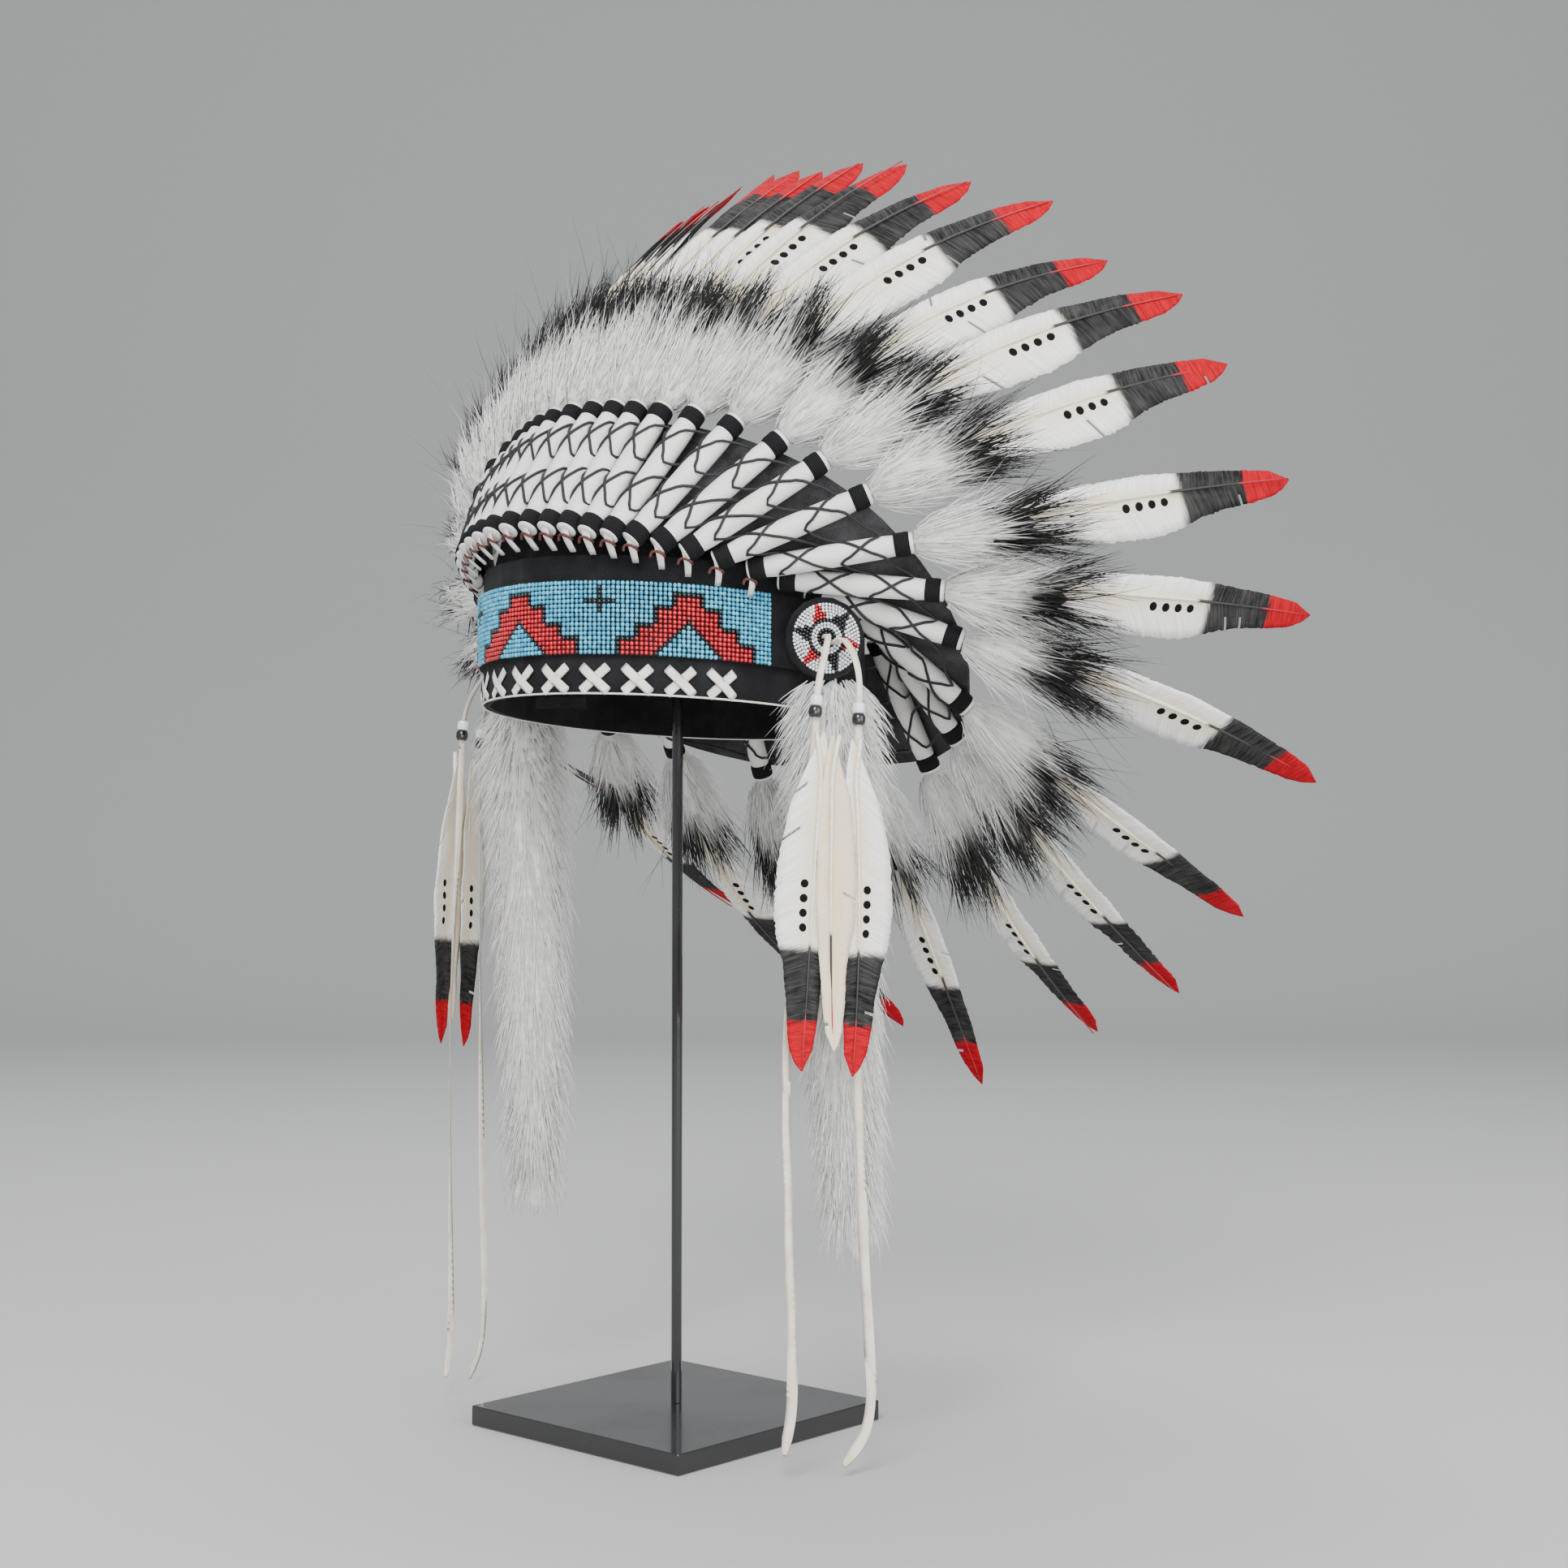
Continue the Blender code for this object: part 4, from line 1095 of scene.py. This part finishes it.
def strap(seat, lean_way, over):
    """One strap of a cross, from low on one side to high on the other, over the round of the band."""
    per_turn = (band_point(seat + 0.01, 0, 0.34) - band_point(seat - 0.01, 0, 0.34)).length / 0.02

    def bend(u, v):
        along = lean_way * (2 * u - 1) * CROSS_HALF
        rise = (u - 0.5) * CROSS_TALL
        slope = Vector((2 * CROSS_HALF * lean_way, CROSS_TALL)).normalized()
        shift = Vector((-slope.y, slope.x)) * (v - 0.5) * THONG_WIDTH
        lift = 0.5 * MM + over * THONG_LIFT * math.sin(math.pi * u)
        turn = seat + (along + shift.x) / per_turn
        return band_point(turn, lift, BAND_BOTTOM + 0.5 * MM + CROSS_TALL / 2 + rise + shift.y)

    return thickened(sheet(8, 3, bend), -THONG_THICK)


cross_seats = arc_seats(CROSS_SPACING, CROSS_ENDS)
cross_seats = [-seat for seat in cross_seats[1:]] + cross_seats
straps = [strap(seat, way, over) for seat in cross_seats for way, over in ((1, 0), (-1, 1))]
piece("edge_crosses", merge(straps), WHITE_THONG)

# %% The felt's own tab and the thin line along the edge
EDGE_TAB_SEATS, EDGE_TAB_DROP, EDGE_TAB_THICK = (math.radians(5), math.radians(23)), 5.0 * MM, 1.4 * MM
EDGE_LINE_RADIUS, EDGE_LINE_STEPS = 0.45 * MM, 120


def edge_tab(u, v):
    seat = EDGE_TAB_SEATS[0] + u * (EDGE_TAB_SEATS[1] - EDGE_TAB_SEATS[0])
    return band_point(seat, -1.0 * MM, BAND_BOTTOM - 0.4 * MM - v * EDGE_TAB_DROP)


piece("edge_tab", thickened(sheet(10, 2, edge_tab), EDGE_TAB_THICK), BLACK_FELT)
turns = np.linspace(0, math.tau, EDGE_LINE_STEPS, endpoint=False)
edge = [band_point(turn, 0.3 * MM, BAND_BOTTOM) for turn in turns]
piece("edge_line", cords([edge], EDGE_LINE_RADIUS, closed=True), WHITE_THONG)

# %% [markdown]
# ## Feathers
# A feather is a shaft with a web of barbs on each side, the leading web a third of the width and
# the trailing one the rest. The web is a grid whose columns are the barbs, swept forward, so that
# its edge frays barb by barb, and a few barbs are taken out where the real web has split.

# %% The feather's shape
BARBS, WEB_ROWS, WEB_THICK, WEB_UNDER = 110, 8, 0.28 * MM, 0.5 * MM
LEADING = ((0.0, 0.5), (0.05, 3.5), (0.2, 8.4), (0.5, 9.4), (0.7, 7.8), (0.85, 6.4), (0.94, 4.9), (1.0, 0.3))
TRAILING = (
    (0.0, 0.6), (0.05, 6.0), (0.14, 14.0), (0.3, 18.6), (0.46, 19.4), (0.56, 17.6), (0.66, 13.4),
    (0.76, 10.6), (0.86, 9.2), (0.93, 7.2), (0.975, 4.0), (1.0, 0.3),
)
WIDEST = 27 * MM
SHAFT_ASIDE, SHAFT_END, SHAFT_STEPS, SHAFT_ABOVE = 4.4 * MM, 0.985, 21, 0.35 * MM
FORWARD_SWEEP, SWEEP_SHARE = 1.15, 0.9
FRAY, FRAY_MOST, CURL, CUP = 0.016, 1.08, 1.2 * MM, 0.10
RIPPLE, RIPPLES, SPLIT_FROM = 0.25 * MM, 30, 0.6


def reach_of(u, side, scale):
    """How far the web on this side reaches from the shaft at u."""
    table = LEADING if side < 0 else TRAILING
    return float(np.interp(u, *zip(*table))) * MM * scale


def on_curve(curve, share, front, leading_side):
    """A point of the feather, with the ways along it, across it and off its face."""
    first, control, last = curve
    point = (1 - share) ** 2 * first + 2 * share * (1 - share) * control + share ** 2 * last
    along = ((1 - share) * (control - first) + share * (last - control)).normalized()
    across = along.cross(front).normalized() * leading_side
    return point, along, across, across.cross(along) * leading_side


def web(curve, front, leading_side, length, scale, seed, ragged=1.0):
    """Both webs of one feather as a sheet with a little thickness."""
    draw = np.random.default_rng(seed)
    fray = [1 + FRAY * ragged * draw.normal() for _ in range(BARBS + 1)]
    curl, wave = CURL * draw.normal(), draw.random() * 6
    splits = {int(b): int(draw.choice((0, 1, 1))) for b in draw.integers(10, BARBS - 8, int(2 * ragged))}

    def bend(u, v):
        side = 2 * v - 1
        reach = reach_of(u, side, scale)
        if abs(side) > 0.95:
            reach *= min(fray[min(int(u * BARBS + 0.5), BARBS)], FRAY_MOST)
        across_by = math.copysign(abs(side) * reach, side)
        ahead_by = FORWARD_SWEEP * abs(side) * reach * (1 - u)
        share = min(1.0, u + ahead_by / length * SWEEP_SHARE)
        point, _, across, up = on_curve(curve, share, front, leading_side)
        cup = -CUP * across_by * side + RIPPLE * math.sin(RIPPLES * u + wave) + (curl * u * u - WEB_UNDER)
        return point + (across_by - SHAFT_ASIDE * scale * (1 - u ** 3)) * across + cup * up

    bm = sheet(BARBS, WEB_ROWS, bend, maps=("barb", "place"))
    barb_map, place_map = bm.loops.layers.uv["barb"], bm.loops.layers.uv["place"]
    torn = []
    for f in bm.faces:
        for loop in f.loops:
            u, v = loop[barb_map].uv
            side = 2 * v - 1
            ahead = FORWARD_SWEEP * abs(side) * reach_of(u, side, scale) * (1 - u) / length * SWEEP_SHARE
            loop[place_map].uv = (u + ahead, side)
        u, v = (sum(loop[barb_map].uv[axis] for loop in f.loops) / 4 for axis in (0, 1))
        trailing = splits.get(int(u * BARBS))
        if trailing is not None and (v > 0.5) == bool(trailing) and abs(2 * v - 1) > SPLIT_FROM:
            torn.append(f)
    bmesh.ops.delete(bm, geom=torn, context="FACES")
    return thickened(bm, WEB_THICK)


def toned(bm, tone):
    """A web's mesh with one tone all over, so that each feather differs a little."""
    mesh = mesh_from(bm)
    held = mesh.attributes.new("tone", "FLOAT", "POINT")
    held.data.foreach_set("value", np.full(len(mesh.vertices), tone, np.float32))
    return mesh


def shaft_route(curve, front, leading_side, scale, start=()):
    route = [Vector(p) for p in start]
    for share in (SHAFT_END * step / SHAFT_STEPS for step in range(SHAFT_STEPS + 1)):
        point, _, across, up = on_curve(curve, share, front, leading_side)
        aside = SHAFT_ASIDE * scale * (1 - share ** 3) * min(1.0, share / 0.12)
        route.append(point - aside * across + SHAFT_ABOVE * up)
    return route


def shaft_taper(share):
    return 1.0 - 0.78 * share


# %% The crown's feathers
CHORD_SHARE, RAGGED, RAGGED_BY = 0.985, (15, 16, 19, 20), 2.6


def crown_feather(number, row, station):
    on_left = math.sin(station.seat)
    turn = 0.0 if abs(on_left) < 0.01 else math.copysign(VANE_TURN, on_left)
    turn *= abs(math.cos(station.seat / 2))
    lift = -MIDDLE_DROP if station.seat == 0 else 0.0
    start = ROLL_END - BORE_DEPTH + 2 * GAP
    straight_end = ROLL_END + STRAIGHT_QUILL
    free = FEATHER_LENGTH + row[5] - (straight_end - start)
    first = station.at(straight_end)
    last = first + CHORD_SHARE * free * lean(row[3], row[4]) + lift * station.front
    curve = (first, first + BEND_SHARE * free * station.direction + lift * station.front, last)
    front = face(row[3], row[4])
    along = on_curve(curve, 0.5, front, 1)[1]
    front = Matrix.Rotation(turn, 3, along) @ front
    leading = 1 if on_left >= -0.01 else -1
    ragged = RAGGED_BY if number in RAGGED else 1.0
    mesh = toned(web(curve, front, leading, free, 1.0, 100 + number, ragged), (number * 0.377) % 1.0)
    piece("vane_%02d" % number, mesh, DYED_VANE, ["feather_%02d" % number])
    return shaft_route(curve, front, leading, 1.0, [station.at(start), station.at(ROLL_END + 0.02)])


routes = [crown_feather(i + 1, row, station) for i, (row, station) in enumerate(zip(ROWS, STATIONS))]
piece("crown_shafts", cords(routes, QUILL_RADIUS, shaft_taper), SHAFT)


# %% The pendant feathers
MIDDLE_BROADER, PENDANT_SHAFT = 1.45, 1.1 * MM


def pendant_feathers(temple):
    routes = []
    for number, (name, top, middle, bottom, out, drop, length, width) in enumerate(PENDANTS):
        full = PENDANT_LENGTH * length
        first = temple.at(top, out, drop)
        half_way = temple.at(middle, out + PENDANT_BOW, drop + full / 2)
        last = temple.at(bottom, out + PENDANT_BOW, drop + full)
        curve = (first, 2 * half_way - (first + last) / 2, last)
        leading = temple.side if name == "front" else -temple.side
        plain = name == "middle"
        scale = width * PENDANT_WIDTH / WIDEST * (MIDDLE_BROADER if plain else 1.0)
        mesh = toned(web(curve, temple.out, leading, full, scale, 40 + number), 0.3 * number)
        which = "_%s_%s" % (name, temple.name)
        finish = PLAIN_VANE if plain else DYED_VANE
        piece("pendant_vane" + which, mesh, finish, ["pendant_feather" + which])
        routes.append(shaft_route(curve, temple.out, leading, scale))
    shafts = cords(routes, PENDANT_SHAFT, shaft_taper)
    piece("pendant_shafts_" + temple.name, shafts, SHAFT)


for temple in TEMPLES:
    pendant_feathers(temple)

# %% [markdown]
# ## Fur
# Real fur is a close white undercoat with long guard hairs over it, black at their tips where they
# reach past the quill. Hair by hair would be millions, so each strand here is a lock about a
# millimetre wide at its root and half as thick, which tapers, curves and lies with its neighbours,
# over a soft solid undercoat.

# %% One lock, and fields of them
LOCK_CUTS, LOCK_FLAT = 2, 0.6


def lock_shape():
    bm = bmesh.new()
    bmesh.ops.create_cone(bm, cap_ends=True, segments=3, radius1=1.0, radius2=0.12, depth=1.0)
    bmesh.ops.translate(bm, vec=(0, 0, 0.5), verts=bm.verts)
    long_edges = [e for e in bm.edges if abs(e.verts[0].co.z - e.verts[1].co.z) > 0.5]
    bmesh.ops.subdivide_edges(bm, edges=long_edges, cuts=LOCK_CUTS, use_grid_fill=True)
    return template(bm)


LOCK = lock_shape()


def unit(rows):
    return rows / np.linalg.norm(rows, axis=1, keepdims=True)


def round_about(angles, first, second):
    """Ways off an axis at these angles, from the first of two ways square to it towards the second."""
    return np.cos(angles)[:, None] * np.array(first) + np.sin(angles)[:, None] * np.array(second)


def smoothstep(value, low, high):
    share = np.clip((value - low) / (high - low), 0, 1)
    return share * share * (3 - 2 * share)


def field(roots, ways, bends, lengths, widths, dark):
    """Locks from roots along ways, curving by bends; dark(points) says how black each point is."""
    shape, faces, _ = LOCK
    t = shape[:, 2]
    spine = roots[:, None] + lengths[:, None, None] * (
        t[None, :, None] * ways[:, None] + (t ** 2)[None, :, None] * bends[:, None]
    )
    helper = np.where(np.abs(ways[:, 2:3]) < 0.8, np.array([[0, 0, 1.0]]), np.array([[1.0, 0, 0]]))
    side = unit(np.cross(ways, helper))
    over = np.cross(ways, side)
    thin = widths[:, None, None] * (
        shape[None, :, 0:1] * side[:, None] + LOCK_FLAT * shape[None, :, 1:2] * over[:, None]
    )
    points = spine + thin
    return joined(points, faces, tones=rng.random(len(roots)), dark=dark(points).ravel())


# %% The tufts at the quills
LOCKS_A_TUFT, CLUMPS_ROUND, STRAYS = 580, 9, 0.05
TUFT_START, TUFT_LONG, TUFT_FOOT = ROLL_END + 0.4 * MM, 50 * MM, 9 * MM
GIRTH_HEIGHTS = np.array([0, 4, 18, 36, 50]) * MM
GIRTHS = np.array([5.6, 8.8, 12.2, 10.4, 5.8]) * MM
DARK_EDGE, EDGE_OF_CLUMP, EDGE_OF_LOCK, EDGE_SOFT = 41 * MM, 5.5 * MM, 4.5 * MM, 4 * MM
CORE_PROFILE = (
    (0.0, 0.2), (4.4, 0.3), (6.6, 3), (9.8, 10), (11.6, 20), (10.6, 32), (7.2, 43), (3.4, 51), (0.0, 55),
)
CORE_SIDES, CORE_FLAT, CORE_DARK = 16, 0.9, (33 * MM, 42 * MM)


def tuft(station, count):
    """Roots, ways, bends, lengths, dark edges and widths of a tuft's locks, in clumps that lie together."""
    up = rng.random(count) * TUFT_LONG
    angle = rng.random(count) * math.tau
    girth = np.interp(up, GIRTH_HEIGHTS, GIRTHS) * (0.8 + 0.3 * rng.random(count))
    direction, front = np.array(station.direction), np.array(station.front)
    outward = round_about(angle, front, np.cross(direction, front))
    roots = np.array(station.at(TUFT_START)) + up[:, None] * direction + girth[:, None] * outward
    clump = (angle / math.tau * CLUMPS_ROUND).astype(int)
    lie, reach = rng.normal(0, 0.10, (CLUMPS_ROUND, 3)), rng.normal(0, EDGE_OF_CLUMP, CLUMPS_ROUND)
    stray = rng.random(count) < STRAYS
    at_foot = np.clip(1 - up / TUFT_FOOT, 0, 1)
    splay = (0.18 + 0.26 * rng.random(count)) * (1 + 1.4 * stray) + 0.5 * at_foot
    ways = unit(direction + splay[:, None] * outward + lie[clump] + rng.normal(0, 0.06, (count, 3)))
    bends = -0.12 * outward + rng.normal(0, 0.09, (count, 3)) - 0.05 * np.array(UP)
    bends -= 0.35 * at_foot[:, None] * outward
    lengths = (20 + 14 * rng.random(count) + 7 * (up > 28 * MM)) * MM * (1 + 0.4 * stray)
    edges = DARK_EDGE + reach[clump] + rng.normal(0, EDGE_OF_LOCK, count)
    widths = (rng.uniform(0.34, 0.60, count) + 0.14 * (up > 34 * MM)) * MM * (1 - 0.5 * stray)
    return roots, ways, bends, lengths, edges, widths


def tuft_field(stations):
    parts = [tuft(s, LOCKS_A_TUFT) for s in stations]
    roots, ways, bends, lengths, edges, widths = (np.concatenate(column) for column in zip(*parts))
    starts = np.repeat([np.array(s.at(TUFT_START)) for s in stations], LOCKS_A_TUFT, axis=0)
    directions = np.repeat([np.array(s.direction) for s in stations], LOCKS_A_TUFT, axis=0)

    def dark(points):
        reach = np.einsum("nkj,nj->nk", points - starts[:, None], directions)
        return smoothstep(reach, edges[:, None] - EDGE_SOFT, edges[:, None] + EDGE_SOFT)

    return field(roots, ways, bends, lengths, widths, dark)


def undercoat(stations):
    """A soft bulb round each quill, white below and black towards the feather."""
    shape = turned(CORE_PROFILE, CORE_SIDES)
    flat = Matrix.Diagonal((CORE_FLAT, 1.0, 1.0, 1.0))
    places = [frame_at(s.at(TUFT_START), s.direction, s.front) @ flat for s in stations]
    dark = np.tile(smoothstep(shape[0][:, 2], *CORE_DARK), len(places))
    return many(shape, places, tones=rng.random(len(places)), dark=dark)


HALF = len(STATIONS) // 2
for name, stations, replaced in (
    ("left", STATIONS[:HALF], ["fur_collar"]), ("right", STATIONS[HALF:], []),
):
    piece("tuft_fur_" + name, tuft_field(stations), FUR, replaced)
    piece("tuft_core_" + name, undercoat(stations), FUR_MASS)

# %% The two fur tails
TAIL_LOCKS, TAIL_RADIUS, TAIL_STEPS = 4600, 16.5 * MM, 60
TAIL_ENDS, TAIL_TOP, GREY_WISPS = 0.90, 0.26, 0.05
CORE_ALONG, CORE_SIZE = (0.0, 0.02, 0.1, 0.35, 0.7, 0.92, 1.0), (0.05, 0.76, 0.90, 0.90, 0.78, 0.5, 0.05)
HAIR_ALONG, HAIR_SIZE = (0, 0.03, 0.3, 0.7, 1.0), (0.80, 0.92, 0.88, 0.76, 0.40)


def tail_hair(temple, route):
    share = rng.random(TAIL_LOCKS) ** 1.1 * TAIL_ENDS
    at = share * (TAIL_STEPS - 1)
    low = np.minimum(at.astype(int), TAIL_STEPS - 2)
    step = route[low + 1] - route[low]
    centre, down = route[low] + (at - low)[:, None] * step, unit(step)
    outward = round_about(rng.random(TAIL_LOCKS) * math.tau, temple.back, temple.out)
    size = np.interp(share, HAIR_ALONG, HAIR_SIZE) * TAIL_RADIUS
    roots = centre + (size * (0.7 + 0.3 * rng.random(TAIL_LOCKS)))[:, None] * outward
    splay = 0.34 + 0.28 * rng.random(TAIL_LOCKS) + 0.9 * np.clip(1 - share / TAIL_TOP, 0, 1)
    ways = unit(down + splay[:, None] * outward + rng.normal(0, 0.08, (TAIL_LOCKS, 3)))
    bends = -0.16 * outward + rng.normal(0, 0.06, (TAIL_LOCKS, 3)) + 0.10 * down
    lengths = rng.uniform(16, 30, TAIL_LOCKS) * MM * np.interp(share, [0, 0.1, 0.9], [0.8, 1.0, 0.9])
    widths = rng.uniform(0.36, 0.66, TAIL_LOCKS) * MM
    wisps = (rng.random(TAIL_LOCKS) < GREY_WISPS)[:, None] * 0.5

    def dark(points):
        return wisps * np.linspace(0, 1, 4)[rng.integers(0, 4, points.shape[:2])]

    return field(roots, ways, bends, lengths, widths, dark)


def tail_core(temple, route):
    """The tail's undercoat: a sheet rolled round the route, with its seam and its ends closed."""
    spans = TAIL_STEPS - 2

    def bend(u, v):
        i = min(int(u * spans), spans - 1)
        point = Vector(route[i]).lerp(Vector(route[i + 1]), u * spans - i)
        radius = float(np.interp(u, CORE_ALONG, CORE_SIZE))
        turn = math.tau * v
        return point + radius * TAIL_RADIUS * (math.cos(turn) * temple.back + math.sin(turn) * temple.out)

    bm = sheet(30, 16, bend)
    bmesh.ops.remove_doubles(bm, verts=bm.verts, dist=0.02 * MM)
    bmesh.ops.holes_fill(bm, edges=[e for e in bm.edges if e.is_boundary], sides=0)
    bmesh.ops.recalc_face_normals(bm, faces=bm.faces)
    return bm


def tail(temple):
    route = np.array(smooth_route([temple.at(*row) for row in TAIL_ROUTE], TAIL_STEPS))
    replaced = ["fur_tail_" + temple.name]
    piece("tail_fur_" + temple.name, tail_hair(temple, route), FUR, replaced)
    piece("tail_core_" + temple.name, tail_core(temple, route), FUR_MASS)
    print("  tail %.3f m" % np.linalg.norm(np.diff(route, axis=0), axis=1).sum())


for temple in TEMPLES:
    tail(temple)

# %% Write the sizes
total = 0
for obj in bpy.context.scene.objects:
    if obj.type == "MESH" and not obj.hide_render:
        total += sum(len(p.vertices) - 2 for p in obj.data.polygons)
print("triangles in all:", total)
